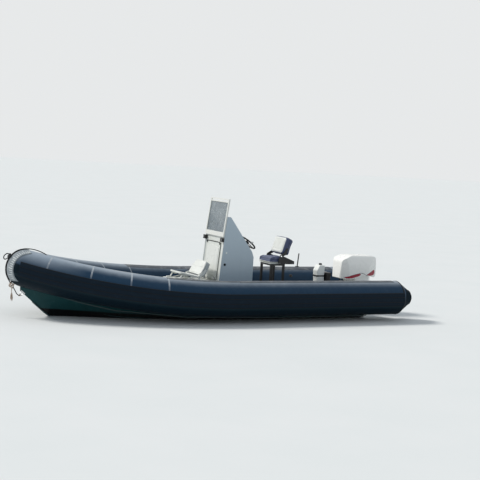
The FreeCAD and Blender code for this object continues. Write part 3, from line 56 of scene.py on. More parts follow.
# Cords: name, solid, route (x and z on the centreline), diameter, length, far end, piece at the far end
CORDS = (
    ("bow_line", "bow_rope", [
        (4.950, 0.572), (5.080, 0.628), (5.195, 0.697), (5.293, 0.787), (5.382, 0.886), (5.490, 0.967),
        (5.625, 1.022), (5.765, 1.045), (5.880, 1.033), (5.952, 1.003), (6.015, 0.954), (6.063, 0.892),
        (6.093, 0.819), (6.103, 0.741), (6.093, 0.662), (6.063, 0.588), (6.020, 0.520)],
     0.016, 1.70, "knot", "rope_knot_turns"),
    ("eye_line", "rope_to_eye", [(5.970, 0.450), (5.936, 0.395), (5.908, 0.340), (5.868, 0.318)],
     0.016, 0.171, "object", "hitch_turns"),
    ("loose_tail", "rope_tail", [(5.990, 0.442), (5.997, 0.390), (5.984, 0.343), (5.990, 0.296)],
     0.012, 0.147, "bare", "tail_fibres"),
)


def linked(name, data):
    """A new object in the scene."""
    piece = bpy.data.objects.new(name, data)
    scene.collection.objects.link(piece)
    return piece


def place_camera():
    ahead = Vector((-math.sin(YAW) * math.cos(PITCH), -math.cos(YAW) * math.cos(PITCH), -math.sin(PITCH)))
    level = ahead.cross(UP).normalized()
    upright = level.cross(ahead)
    right = level * math.cos(ROLL) - upright * math.sin(ROLL)
    up = level * math.sin(ROLL) + upright * math.cos(ROLL)
    data = bpy.data.cameras.new("camera")
    data.sensor_width = SENSOR_MM
    data.lens = SENSOR_MM * FOCAL_PX / PICTURE_PX
    data.clip_end = 300
    scene.camera = linked("camera", data)
    scene.camera.matrix_world = Matrix.Translation(CAMERA_PLACE) @ Matrix((right, up, -ahead)).transposed().to_4x4()


def spline_cord(name, route, radius):
    """A smooth line through a route on the centreline, as thick as the cord."""
    curve = bpy.data.curves.new(name, "CURVE")
    curve.dimensions = "3D"
    line = curve.splines.new("NURBS")
    line.points.add(len(route) - 1)
    for point, (x, z) in zip(line.points, route):
        point.co = (x, 0, z, 1)
    line.order_u = 3
    line.use_endpoint_u = True
    line.resolution_u = 12
    curve.bevel_depth = radius
    curve.bevel_resolution = 5
    curve.use_fill_caps = True
    return linked(name, curve)


place_camera()
guides = {name: spline_cord(name, route, diameter / 2) for name, _, route, diameter, *_ in CORDS}


# Materials
class Graph:
    """A material made of nodes, on coordinates in metres in the boat's frame."""

    NAMES = {"color": "Base Color", "rough": "Roughness", "metal": "Metallic", "normal": "Normal",
             "coat": "Coat Weight", "coat_rough": "Coat Roughness", "sheen": "Sheen Weight",
             "clear": "Transmission Weight", "ior": "IOR", "alpha": "Alpha", "specular": "Specular IOR Level"}

    def __init__(self, name):
        self.material = bpy.data.materials.new(name)
        self.material.use_nodes = True
        self.tree = self.material.node_tree
        self.tree.nodes.clear()
        self.shader = self.node("BsdfPrincipled")
        self.node("OutputMaterial", Surface=self.shader.outputs[0])
        self.place = self.node("TexCoord").outputs["Object"]

    def put(self, socket, value):
        if isinstance(value, bpy.types.NodeSocket):
            self.tree.links.new(value, socket)
        else:
            socket.default_value = value

    def node(self, kind, **inputs):
        """A node whose inputs are values or other nodes' outputs."""
        node = self.tree.nodes.new("ShaderNode" + kind)
        for name, value in inputs.items():
            self.put(node.inputs[name], value)
        return node

    def set(self, **values):
        for key, value in values.items():
            self.put(self.shader.inputs[self.NAMES[key]], value)
        return self.material

    def scaled(self, stretch):
        return self.node("Mapping", Vector=self.place, Scale=stretch).outputs[0] if stretch else self.place

    def noise(self, scale, detail=3.0, rough=0.5, stretch=None, twist=0.0):
        return self.node("TexNoise", Vector=self.scaled(stretch), Scale=scale, Detail=detail, Roughness=rough,
                         Distortion=twist).outputs["Fac"]

    def cells(self, scale):
        return self.node("TexVoronoi", Vector=self.place, Scale=scale).outputs["Distance"]

    def weave(self, scale):
        """Threads along the boat times threads up it."""
        waves = []
        for direction in "XZ":
            node = self.node("TexWave", Vector=self.place, Scale=scale)
            node.bands_direction = direction
            waves.append(node.outputs["Fac"])
        return self.times(*waves)

    def ramp(self, factor, low, high, start=0.0, end=1.0):
        node = self.node("MapRange", Value=factor)
        for name, value in (("From Min", low), ("From Max", high), ("To Min", start), ("To Max", end)):
            node.inputs[name].default_value = value
        return node.outputs[0]

    def maths(self, kind, first, second=0.0):
        node = self.node("Math")
        node.operation = kind
        self.put(node.inputs[0], first)
        self.put(node.inputs[1], second)
        return node.outputs[0]

    def plus(self, first, second):
        return self.maths("ADD", first, second)

    def minus(self, first, second):
        return self.maths("SUBTRACT", first, second)

    def times(self, first, second):
        return self.maths("MULTIPLY", first, second)

    def mixed(self, factor, first, second):
        node = self.node("Mix")
        node.data_type = "RGBA"
        for socket, value in ((node.inputs["Factor"], factor), (node.inputs[6], first), (node.inputs[7], second)):
            self.put(socket, value)
        return node.outputs[2]

    def stained(self, factor, low, high, amount, first, second):
        """A first colour with as much of a second as a noise between two levels gives."""
        return self.mixed(self.ramp(factor, low, high, 0, amount), first, second)

    def axis(self, index, source=None):
        return self.node("SeparateXYZ", Vector=source or self.place).outputs[index]

    def upright(self):
        """How far the surface faces up."""
        return self.axis(2, self.node("NewGeometry").outputs["Normal"])

    def bump(self, height, strength, distance, under=None):
        node = self.node("Bump", Strength=strength, Distance=distance, Height=height)
        if under is not None:
            self.put(node.inputs["Normal"], under)
        return node.outputs[0]


def color(red, green, blue):
    """An sRGB colour, 0 to 255, as linear values."""
    shares = (value / 255 for value in (red, green, blue))
    return tuple(v / 12.92 if v <= 0.04045 else ((v + 0.055) / 1.055) ** 2.4 for v in shares) + (1.0,)


def gelcoat(name, base, stain, rough=0.28, grime=0.35):
    """Moulded gelcoat with faint waves, chalking and run-down grime."""
    g = Graph(name)
    large = g.noise(3.2, 4, 0.6)
    shade = g.stained(large, 0.35, 0.75, grime, base, stain)
    shade = g.stained(g.noise(9, 5, 0.6, (1, 1, 0.16)), 0.56, 0.74, grime, shade, stain)
    return g.set(color=shade, rough=g.ramp(g.noise(14, 4), 0.3, 0.8, rough, rough + 0.22), coat=0.25, coat_rough=0.2,
                 normal=g.bump(g.noise(160, 3), 0.05, 0.0006, g.bump(large, 0.12, 0.004)))


def webbing(name, base, worn):
    """Woven strap: a fine weave, bleached patches and handling marks."""
    g = Graph(name)
    patch = g.noise(11, 5, 0.65, twist=0.6)
    shade = g.stained(g.noise(1.7, 5, 0.62), 0.38, 0.72, 0.4, base, worn)
    shade = g.stained(g.noise(46, 4, 0.7, (0.25, 1, 1)), 0.62, 0.75, 0.24, shade, worn)
    return g.set(color=shade, rough=g.ramp(patch, 0.3, 0.75, 0.7, 0.92), sheen=0.08,
                 normal=g.bump(g.weave(900), 0.12, 0.0004, g.bump(patch, 0.1, 0.002)))


def tape_cloth():
    """Seam tape: paler on top of the tube, partly real bleaching and partly a painted highlight, dark on its side."""
    g = Graph("tape_cloth")
    patch = g.noise(14, 5, 0.65, twist=0.5)
    # Paler where the tape faces up: partly real bleaching, partly painted sky light.
    lit_bleached_crown = g.ramp(g.plus(g.upright(), g.times(patch, 0.3)), 0.45, 1.05)
    pale = g.mixed(g.ramp(patch, 0.35, 0.7), color(150, 160, 170), color(196, 202, 206))
    return g.set(color=g.mixed(lit_bleached_crown, color(38, 60, 84), pale), rough=g.ramp(patch, 0.3, 0.75, 0.5, 0.7),
                 specular=0.25, normal=g.bump(g.weave(520), 0.12, 0.0004, g.bump(patch, 0.1, 0.002)))


def rubber(name, base, dust, amount=0.4, rough=0.7, shine=0.5):
    """Moulded rubber with a fine grain and dust in the hollows."""
    g = Graph(name)
    dusty = g.noise(7, 6, 0.65, twist=0.8)
    return g.set(color=g.stained(dusty, 0.45, 0.7, amount, base, dust),
                 rough=g.ramp(dusty, 0.3, 0.8, rough - 0.12, rough + 0.15), specular=shine,
                 normal=g.bump(g.cells(420), 0.25, 0.0006, g.bump(g.noise(60, 3), 0.1, 0.001)))


def metal(name, base, rough):
    """Bare or bright metal with drawn lines and small blotches."""
    g = Graph(name)
    lines = g.noise(60, 4, 0.6, (1, 30, 1))
    return g.set(color=g.stained(g.noise(18, 4, 0.6), 0.5, 0.8, 0.15, base, color(96, 90, 82)), metal=1.0,
                 rough=g.ramp(lines, 0.3, 0.7, rough, rough + 0.18), normal=g.bump(lines, 0.06, 0.0005))


def painted(name, base, chip, rough=0.35, chipped=0.25):
    """Paint on metal: slight orange peel, dulled spots and a few chips."""
    g = Graph(name)
    spots = g.noise(34, 5, 0.7)
    return g.set(color=g.stained(spots, 0.66, 0.74, chipped, base, chip), coat=0.15, coat_rough=0.25,
                 rough=g.ramp(g.noise(12, 4), 0.3, 0.75, rough, rough + 0.2),
                 normal=g.bump(g.noise(220, 2), 0.08, 0.0005, g.bump(spots, 0.1, 0.0008)))


def moulded(name, base, rough=0.5, grain=500.0, tint=None):
    """Moulded plastic with a fine grain."""
    g = Graph(name)
    soft = g.noise(9, 4, 0.6)
    tint = tint or tuple(min(1, c * 1.6) for c in base[:3]) + (1,)
    return g.set(color=g.stained(soft, 0.4, 0.8, 0.35, base, tint),
                 rough=g.ramp(soft, 0.3, 0.8, rough - 0.08, rough + 0.14),
                 normal=g.bump(g.cells(grain), 0.22, 0.0004))


def vinyl(name, base, dirt):
    """Marine vinyl: pebbled grain, a soft sheen and handling dirt."""
    g = Graph(name)
    soft = g.noise(8, 5, 0.6)
    return g.set(color=g.stained(soft, 0.42, 0.75, 0.3, base, dirt), rough=g.ramp(soft, 0.3, 0.8, 0.38, 0.58),
                 sheen=0.1, coat=0.08,
                 normal=g.bump(g.cells(640), 0.22, 0.0005, g.bump(g.noise(26, 4, 0.65, twist=1.2), 0.22, 0.0022)))


def tube_cloth():
    """Coated tube cloth: paler on top, partly real sun bleaching and partly a painted highlight, in painted shade
    below the rubbing strake, with stains, scuffs and a weave.
    """
    g = Graph("tube_cloth")
    x, z = g.axis(0), g.axis(2)
    turn = g.maths("DIVIDE", g.maths("MAXIMUM", g.minus(x, ARC_START), 0.0), ARC_RADIUS)
    sheer = g.minus(1.0, g.maths("SQRT", g.minus(1.0, g.times(turn, turn))))
    above = g.minus(z, g.plus(TUBE_HEIGHT, g.times(sheer, 1.761)))
    broad = g.noise(1.7, 5, 0.62)
    patch = g.noise(9, 5, 0.65, twist=0.5)
    side = g.stained(broad, 0.35, 0.75, 0.5, color(16, 48, 73), color(26, 60, 85))
    side = g.stained(g.noise(22, 4, 0.65, (1, 1, 0.12)), 0.58, 0.8, 0.22, side, color(70, 90, 110))
    # Paler where the tube faces up: partly real sun bleaching, partly painted sky light and sun highlight, wider at
    # the bow.
    facing = g.plus(g.upright(), g.times(patch, 0.1))
    lit_bleached_crown = g.maths("POWER", g.ramp(facing, 0.70, 1.0), 2.1)
    lit_bleached_prow = g.maths("POWER", g.ramp(facing, 0.28, 0.98), 1.75)
    forward = g.ramp(x, 5.05, 5.6)
    lit_bleached_top = g.plus(g.times(lit_bleached_crown, g.minus(1.0, forward)), g.times(lit_bleached_prow, forward))
    grey = g.mixed(g.ramp(x, 3.0, 5.2), color(118, 130, 142), color(152, 166, 180))
    bleached_lit_grey = g.stained(broad, 0.3, 0.7, 0.6, grey, color(164, 172, 180))
    scuffed = g.times(g.ramp(g.noise(30, 4, 0.7, (0.18, 1, 1)), 0.63, 0.76, 0, 0.5), lit_bleached_crown)
    top = g.mixed(scuffed, g.mixed(lit_bleached_top, side, bleached_lit_grey), color(168, 176, 182))
    # Below the rubbing strake: painted shade, the underside of the tube darkened.
    under = g.stained(patch, 0.4, 0.8, 0.6, color(3, 22, 33), color(9, 32, 43))
    # A thin paler band just under the strake: painted highlight.
    painted_glint_band = g.times(g.ramp(above, -0.165, -0.112, 0, 0.7), g.ramp(above, -0.098, -0.108))
    under = g.mixed(g.times(painted_glint_band, g.ramp(x, -0.45, -0.40)), under, color(30, 50, 58))
    # The line where the painted shade begins: along the strake, higher at the bow and over the cone.
    edge = g.plus(g.ramp(x, 5.932, 5.956, -0.1, 0.045), g.ramp(x, -0.56, -0.415, 0.36, 0.0))
    # Mask of the part above the painted shade line.
    bright = g.ramp(g.minus(above, edge), -0.012, 0.012)
    shine = g.times(g.ramp(bright, 0.0, 1.0, 0.1, 0.22), g.ramp(x, -0.50, -0.43, 0.1, 1.0))
    return g.set(color=g.mixed(g.times(bright, g.ramp(x, -0.70, -0.66)), under, top), specular=shine,
                 rough=g.ramp(patch, 0.3, 0.75, 0.42, 0.62),
                 normal=g.bump(g.weave(420), 0.1, 0.0004, g.bump(patch, 0.12, 0.003, g.bump(broad, 0.2, 0.012))))


def hull_coat():
    """Dark gelcoat, its teal tint a painted reflection of water, above a black bottom band that narrows aft, with
    water stains and chalky streaks.
    """
    g = Graph("hull_gelcoat")
    above = g.minus(g.axis(2), g.ramp(g.axis(0), 1.5, 5.5, 0.03, 0.125))
    large = g.noise(2.6, 5, 0.6)
    # Teal base colours: a painted reflection of the water on the dark hull.
    coat = g.stained(large, 0.36, 0.72, 0.6, color(21, 61, 64), color(32, 76, 79))
    coat = g.stained(g.noise(16, 5, 0.62, (1, 1, 0.14)), 0.55, 0.76, 0.3, coat, color(52, 88, 88))
    coat = g.stained(g.noise(38, 4, 0.7, (0.1, 1, 1)), 0.68, 0.76, 0.4, coat, color(110, 130, 132))
    band = g.stained(large, 0.4, 0.75, 0.5, color(6, 8, 11), color(18, 21, 23))
    return g.set(color=g.mixed(g.ramp(above, -0.004, 0.004), band, coat), coat=0.05, coat_rough=0.2, specular=0.15,
                 rough=g.ramp(g.noise(14, 4), 0.3, 0.8, 0.26, 0.5),
                 normal=g.bump(g.noise(150, 3), 0.05, 0.0006, g.bump(large, 0.12, 0.005)))


def twisted_fibre(name, base, pale):
    """Laid rope fibre: fine hairs along the strands, dirt in the lay."""
    g = Graph(name)
    hair = g.noise(340, 4, 0.65, (1, 0.5, 1))
    shade = g.stained(g.noise(30, 4, 0.6), 0.35, 0.75, 0.7, base, pale)
    return g.set(color=g.stained(hair, 0.58, 0.75, 0.4, shade, pale), rough=0.82, sheen=0.12,
                 normal=g.bump(hair, 0.4, 0.0006))


def nonskid(name, base, dirt):
    """Raised grit moulded into the deck, worn and dirty."""
    g = Graph(name)
    wear = g.noise(3.4, 5, 0.62)
    return g.set(color=g.stained(wear, 0.38, 0.72, 0.55, base, dirt), rough=g.ramp(wear, 0.3, 0.8, 0.6, 0.85),
                 normal=g.bump(g.cells(210), 0.5, 0.0014))


def dial_face():
    g = Graph("dial_face")
    return g.set(color=g.stained(g.noise(60, 3), 0.4, 0.7, 0.4, color(18, 20, 22), color(34, 36, 38)),
                 rough=g.ramp(g.noise(200, 2), 0.3, 0.7, 0.4, 0.55))


def clear_cover(name, tint, clear, alpha):
    g = Graph(name)
    haze = g.noise(40, 4, 0.6)
    g.material.surface_render_method = "BLENDED"
    return g.set(color=g.stained(haze, 0.4, 0.7, 0.4, tint, color(236, 240, 242)), clear=clear, ior=1.49, alpha=alpha,
                 rough=g.ramp(haze, 0.3, 0.8, 0.04, 0.16))


def screen_acrylic():
    """Weathered acrylic: crazed and hazy, with run marks and fine scratches."""
    g = Graph("screen_acrylic")
    haze = g.noise(5, 6, 0.7, (1, 1, 0.45))
    shade = g.stained(haze, 0.4, 0.7, 0.8, color(122, 134, 142), color(166, 176, 180))
    shade = g.stained(g.noise(24, 5, 0.72, twist=0.9), 0.56, 0.72, 0.35, shade, color(190, 198, 200))
    g.material.surface_render_method = "BLENDED"
    return g.set(color=shade, rough=g.ramp(haze, 0.3, 0.75, 0.12, 0.38), clear=0.35, ior=1.49, alpha=0.78,
                 normal=g.bump(g.noise(120, 3, 0.6, (1, 8, 0.3)), 0.06, 0.0004))


# The tubes: sizes in metres, as in the CAD model
TUBE_RADIUS = 0.285
TUBE_SPACING = 1.0
TUBE_HEIGHT = 0.38
ARC_START = 2.65
ARC_RADIUS = 5.2
SHEER = math.radians(19.8)
ARC_END = ARC_START + ARC_RADIUS * 0.6508
CONE_START = -0.43
STRAKE = math.radians(21)

M = {
    "tube": tube_cloth(),
    "tape": tape_cloth(),
    "strake": rubber("strake_rubber", color(14, 28, 40), color(28, 42, 54), 0.5, 0.7, 0.12),
    "edge": rubber("black_rubber", color(7, 12, 18), color(20, 29, 36), 0.3, 0.55, 0.2),
    "tread": rubber("tread_rubber", color(78, 84, 92), color(150, 152, 152), 0.6, 0.8),
    "wrap": rubber("chafe_wrap", color(136, 144, 150), color(178, 184, 186), 0.6, 0.75, 0.2),
    # Folds of the wrap, paler than the wrap itself: painted highlight on their ridges.
    "gather_highlight": rubber("wrap_gathers_highlight", color(196, 202, 204), color(220, 222, 220), 0.6, 0.75, 0.2),
    "gel": gelcoat("white_gelcoat", color(228, 231, 226), color(186, 190, 184)),
    # The console's sides: a darker, bluer copy of the white gelcoat, painted shade.
    "side": gelcoat("shaded_side_gelcoat", color(176, 192, 203), color(168, 184, 196), 0.32, 0.5),
    "white": gelcoat("white_trim", color(232, 234, 230), color(198, 200, 194), 0.24, 0.25),
    "hull": hull_coat(),
    "rail": gelcoat("rail_gelcoat", color(36, 66, 70), color(24, 48, 52), 0.4, 0.6),
    "deck": gelcoat("deck_gelcoat", color(168, 172, 170), color(120, 122, 118), 0.55, 0.6),
    "nonskid": nonskid("deck_nonskid", color(150, 155, 154), color(104, 106, 102)),
    "frame": painted("screen_paint", color(226, 227, 222), color(150, 150, 146), 0.3),
    "plastic": moulded("black_plastic", color(20, 21, 23)),
    "black": painted("black_paint", color(18, 19, 21), color(70, 66, 62), 0.38),
    "steel": metal("stainless_steel", color(196, 198, 200), 0.2),
    "navy": vinyl("navy_vinyl", color(48, 62, 100), color(92, 102, 126)),
    "navy_piping": vinyl("navy_piping", color(34, 44, 74), color(74, 82, 104)),
    "white_vinyl": vinyl("white_vinyl", color(228, 230, 226), color(186, 186, 178)),
    # A darker copy of the white vinyl: painted shade on the forward seat back's side band.
    "shaded_grey_vinyl": vinyl("shaded_grey_vinyl", color(172, 180, 184), color(134, 142, 146)),
    "tank": moulded("tank_plastic", color(246, 248, 244), 0.42, 300, color(224, 228, 224)),
    "cowl": painted("motor_paint", color(251, 251, 247), color(222, 223, 218), 0.2, 0.12),
    "crimson": painted("stripe_paint", color(158, 14, 44), color(112, 12, 34), 0.3, 0.2),
    "slot": moulded("slot_black", color(14, 15, 17), 0.6),
    "iron": metal("engine_iron", color(92, 92, 94), 0.55),
    "prop": painted("propeller_paint", color(24, 25, 27), color(120, 118, 112), 0.4, 0.5),
    "webbing": webbing("black_webbing", color(20, 21, 24), color(60, 60, 60)),
    "rope": twisted_fibre("rope_fibre", color(24, 28, 34), color(76, 78, 78)),
    "tan_rope": twisted_fibre("frayed_fibre", color(156, 128, 104), color(226, 219, 208)),
    "dial": dial_face(),
    "needle": painted("dial_marks", color(222, 224, 220), color(190, 190, 186), 0.4),
    "glass": clear_cover("dial_glass", color(222, 230, 234), 0.85, 0.35),
    "lamp": clear_cover("lamp_lens", color(226, 230, 232), 0.5, 0.9),
    "pane": screen_acrylic(),
}

# What each CAD node is made of
for key, names in {
    "tube": "collar_port collar_starboard",
    "strake": "strake_port strake_starboard",
    "tread": "tread_port tread_starboard",
    "wrap": "nose_guard",
    # The console's sides take the shaded copy of the white gelcoat: painted shade.
    "side": "console_side_port console_side_starboard",
    "gel": "transom console_front console_hatch console_dash console_back helm_seat_base seat_locker forward_seat_pan",
    "hull": "hull",
    "deck": "cockpit_sole foredeck",
    "frame": "windscreen_frame",
    "pane": "windscreen_pane",
    "plastic": "shoulder_lamps throttle_box steering_wheel oil_tank_cap battery_box",
    "black": "steering_hub helm_seat_frame helm_seat_hinge helm_back_bracket stern_light_pole clamp_bracket "
             "swivel_bracket motor_leg",
    "steel": "throttle_lever forward_seat_pin bow_eye foredeck_cleat",
    "white": "forward_seat_cheeks forward_seat_prop forward_seat_arms",
    "navy": "helm_seat_cushion helm_back_shell",
    "white_vinyl": "helm_back_pad forward_seat_back",
    "tank": "oil_tank",
    "cowl": "motor_cowl motor_apron",
    "iron": "engine_block",
    "prop": "propeller",
    "rope": "rope_knot rope_hitch",
}.items():
    for node in names.split():
        if not NODES[node].material_slots:
            NODES[node].data.materials.append(M[key])
        for slot in NODES[node].material_slots:
            slot.material = M[key]


# Shape tools
def spread(low, high, count):
    """Even steps from one value to another, both included."""
    return [low + (high - low) * k / count for k in range(count + 1)]


def facing(spot, out, side="Y"):
    """A frame at a spot, with its local Z turned outward."""
    return Matrix.Translation(spot) @ Vector(out).to_track_quat("Z", side).to_matrix().to_4x4()


def joined(form, low, high):
    """Faces between two rings of points; a ring of one point is a tip."""
    count = max(len(low), len(high))
    for k in range(count):
        after = (k + 1) % count
        corners = (low[k % len(low)], low[after % len(low)], high[after % len(high)], high[k % len(high)])
        corners = list(dict.fromkeys(corners))
        if len(corners) > 2:
            form.faces.new(corners)


class Kit:
    """Gathers closed forms into one mesh piece."""

    def __init__(self, material):
        self.mesh = bmesh.new()
        self.materials = []
        self.use(material)

    def use(self, material):
        """Give what follows this material."""
        if material not in self.materials:
            self.materials.append(material)
        self.index = self.materials.index(material)

    def add(self, form, place=None):
        """Move a form into the mesh."""
        bmesh.ops.recalc_face_normals(form, faces=form.faces)
        if place is not None:
            bmesh.ops.transform(form, matrix=place, verts=form.verts)
        for face in form.faces:
            face.material_index = self.index
        data = bpy.data.meshes.new("form")
        form.to_mesh(data)
        form.free()
        self.mesh.from_mesh(data)
        bpy.data.meshes.remove(data)

    def block(self, low, high, edge, place=None, segments=2):
        """A box with rounded edges."""
        form = bmesh.new()
        bmesh.ops.create_cube(form, size=1)
        low, high = Vector(low), Vector(high)
        for vertex in form.verts:
            vertex.co = Vector(a * b for a, b in zip(vertex.co, high - low)) + (high + low) / 2
        bmesh.ops.bevel(form, geom=list(form.edges), offset=edge, segments=segments, profile=0.5, affect="EDGES")
        self.add(form, place)

    def prism(self, outline, low, high, edge, place=None, segments=2):
        """An outline in local X and Y, extruded between two heights, with rounded rims."""
        form = bmesh.new()
        base = form.faces.new([form.verts.new((x, y, low)) for x, y in outline])
        for item in bmesh.ops.extrude_face_region(form, geom=[base])["geom"]:
            if isinstance(item, bmesh.types.BMVert):
                item.co.z = high
        bmesh.ops.recalc_face_normals(form, faces=form.faces)
        rims = [e for e in form.edges if abs(e.verts[0].co.z - e.verts[1].co.z) < 1e-7]
        bmesh.ops.bevel(form, geom=rims, offset=edge, segments=segments, profile=0.5, affect="EDGES")
        self.add(form, place)

    def lathe(self, profile, place, segments, ring=False):
        """A profile of (radius, height) turned about the local Z axis."""
        form = bmesh.new()
        turns = [2 * math.pi * k / segments for k in range(segments)]
        rings = [[form.verts.new((radius * math.cos(a), radius * math.sin(a), height))
                  for a in (turns if radius else turns[:1])] for radius, height in profile]
        for low, high in zip(rings, rings[1:] + rings[:1] if ring else rings[1:]):
            joined(form, low, high)
        self.add(form, place)

    def disc(self, place, segments, *rims, top=None):
        """A turned solid: rims of (radius, height), closed on its axis."""
        self.lathe([(0, rims[0][1]), *rims, (0, rims[-1][1] if top is None else top)], place, segments)

    def sweep(self, points, radius, sides=8, closed=False, ups=None, flat=1.0):
        """A bar along points; with ups its section is an ellipse, flat times as high along them as wide."""
        points = [Vector(p) for p in points]
        count = len(points)
        sizes = radius if isinstance(radius, list) else [radius] * count
        side, rows = None, []
        for i, point in enumerate(points):
            back = points[i - 1] if i or closed else point
            ahead = points[(i + 1) % count] if i < count - 1 or closed else point
            tangent = (ahead - back).normalized()
            if ups:
                side = tangent.cross(Vector(ups[i])).normalized()
            else:
                side = side or tangent.orthogonal().normalized()
                side = (side - tangent * side.dot(tangent)).normalized()
            rows.append((point, side, side.cross(tangent), sizes[i], tangent))
        if not closed:
            for end, sign in ((0, -1), (-1, 1)):
                point, side, up, size, tangent = rows[end]
                caps = [(point + tangent * sign * size * reach, side, up, size * share, tangent)
                        for reach, share in ((0.5, 0.86), (0.85, 0.5))]
                rows = caps[::-1] + rows if sign < 0 else rows + caps
        form = bmesh.new()
        turns = [2 * math.pi * k / sides for k in range(sides)]
        rings = [[form.verts.new(p + s * math.cos(a) * r + u * math.sin(a) * r * flat) for a in turns]
                 for p, s, u, r, _ in rows]
        if not closed:
            form.faces.new(rings[0])
            form.faces.new(rings[-1])
        for low, high in zip(rings, rings[1:] + rings[:1] if closed else rings[1:]):
            joined(form, low, high)
        self.add(form)

    def follow(self, run, lift, radius, flat, sides=8):
        """A flat bar along points of a skin, each with its normal there, lifted off it."""
        self.sweep([p + n * lift for p, n in run], radius, sides, ups=[n for _, n in run], flat=flat)

    def shell(self, place, across, along, thick, feather):
        """A closed sheet: place(u, v, lift) gives its points for u and v from 0 to 1."""
        form = bmesh.new()

        def layer(lift):
            return [[form.verts.new(place(i / across, j / along,
                                          lift * (feather if i in (0, across) or j in (0, along) else 1)))
                     for j in range(along + 1)] for i in range(across + 1)]

        low, high = layer(0), layer(thick)
        for i in range(across):
            for j in range(along):
                for grid in (low, high):
                    form.faces.new((grid[i][j], grid[i + 1][j], grid[i + 1][j + 1], grid[i][j + 1]))
        rim = [(i, 0) for i in range(across)] + [(across, j) for j in range(along)]
        rim += [(i, along) for i in range(across, 0, -1)] + [(0, j) for j in range(along, 0, -1)]
        joined(form, [low[i][j] for i, j in rim], [high[i][j] for i, j in rim])
        self.add(form)

    def screws(self, spots, out, r):
        """Round screw heads of radius r, with a recess, all facing out."""
        for spot in spots:
            self.disc(facing(spot, out), 12, (r, -0.001), (r, 0.25 * r), (0.8 * r, 0.55 * r), (0.45 * r, 0.62 * r),
                      (0.42 * r, 0.2 * r))

    def done(self, name, slot, body="boat"):
        data = bpy.data.meshes.new(name)
        self.mesh.to_mesh(data)
        self.mesh.free()
        for material in self.materials:
            data.materials.append(M[material])
        data.polygons.foreach_set("use_smooth", [True] * len(data.polygons))
        data.set_sharp_from_angle(angle=math.radians(38))
        piece = linked(name, data)
        piece.modifiers.new("even_normals", "WEIGHTED_NORMAL").keep_sharp = True
        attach(piece, body)
        return piece


def tree_of(data):
    return BVHTree.FromPolygons([v.co for v in data.vertices], [tuple(p.vertices) for p in data.polygons])


class Skin:
    """The surface of a CAD node, for what lies on it."""

    def __init__(self, node):
        self.tree = tree_of(NODES[node].data)

    def hit(self, start, direction):
        return self.tree.ray_cast(Vector(start), Vector(direction).normalized())[:2]

    def run(self, starts, direction):
        """Where rays from some points meet the skin, with its normals; those that miss are left out."""
        return [(p, n) for p, n in (self.hit(start, direction) for start in starts) if p is not None]


SIDES = ((1, "port"), (-1, "starboard"))
AHEAD, AFT = Vector((1, 0, 0)), Vector((-1, 0, 0))


def tube_frame(side, s):
    """Middle of a tube at a length along it, and the directions inboard, upward and ahead there."""
    inward = Vector((0, -side * math.cos(SHEER), math.sin(SHEER)))
    up = Vector((0, side * math.sin(SHEER), math.cos(SHEER)))
    start = Vector((min(s, ARC_START), side * TUBE_SPACING, TUBE_HEIGHT))
    turn = max(0.0, s - ARC_START) / ARC_RADIUS
    middle = start + ARC_RADIUS * (math.sin(turn) * AHEAD + (1 - math.cos(turn)) * inward)
    return middle, math.cos(turn) * inward - math.sin(turn) * AHEAD, up


def tube_out(side, s, angle):
    """Outward direction on a tube, the angle from the outboard side upward."""
    _, inward, up = tube_frame(side, s)
    return -math.cos(angle + SHEER) * inward + math.sin(angle + SHEER) * up


def on_tube(side, s, angle, lift=0.0):
    return tube_frame(side, s)[0] + tube_out(side, s, angle) * (TUBE_RADIUS + lift)


def nose_length(side, angle, reach):
    """Length along a tube at which its surface comes within a distance of the centreline."""
    low, high = ARC_START, ARC_END
    for _ in range(40):
        middle = (low + high) / 2
        if on_tube(side, middle, angle).y * side > reach:
            low = middle
        else:
            high = middle
    return low


def tube_band(kit, side, first, last, low, high, thick, feather=0.35, steps=None):
    """A sheet glued on a tube between two lengths and two angles in degrees."""
    low, high = math.radians(low), math.radians(high)
    kit.shell(lambda u, v, lift: on_tube(side, first + (last - first) * u, low + (high - low) * v, 0.0003 + lift),
              steps or max(2, int(abs(last - first) / 0.12)), max(4, int(abs(high - low) / 0.09)), thick, feather)


BOW_SEAMS = (5.645, 5.0, 4.41, 3.84)
AFT_SEAMS = (3.1, 2.05, 1.2, 0.32, -0.39)
VALVE_ANGLE = math.radians(148)


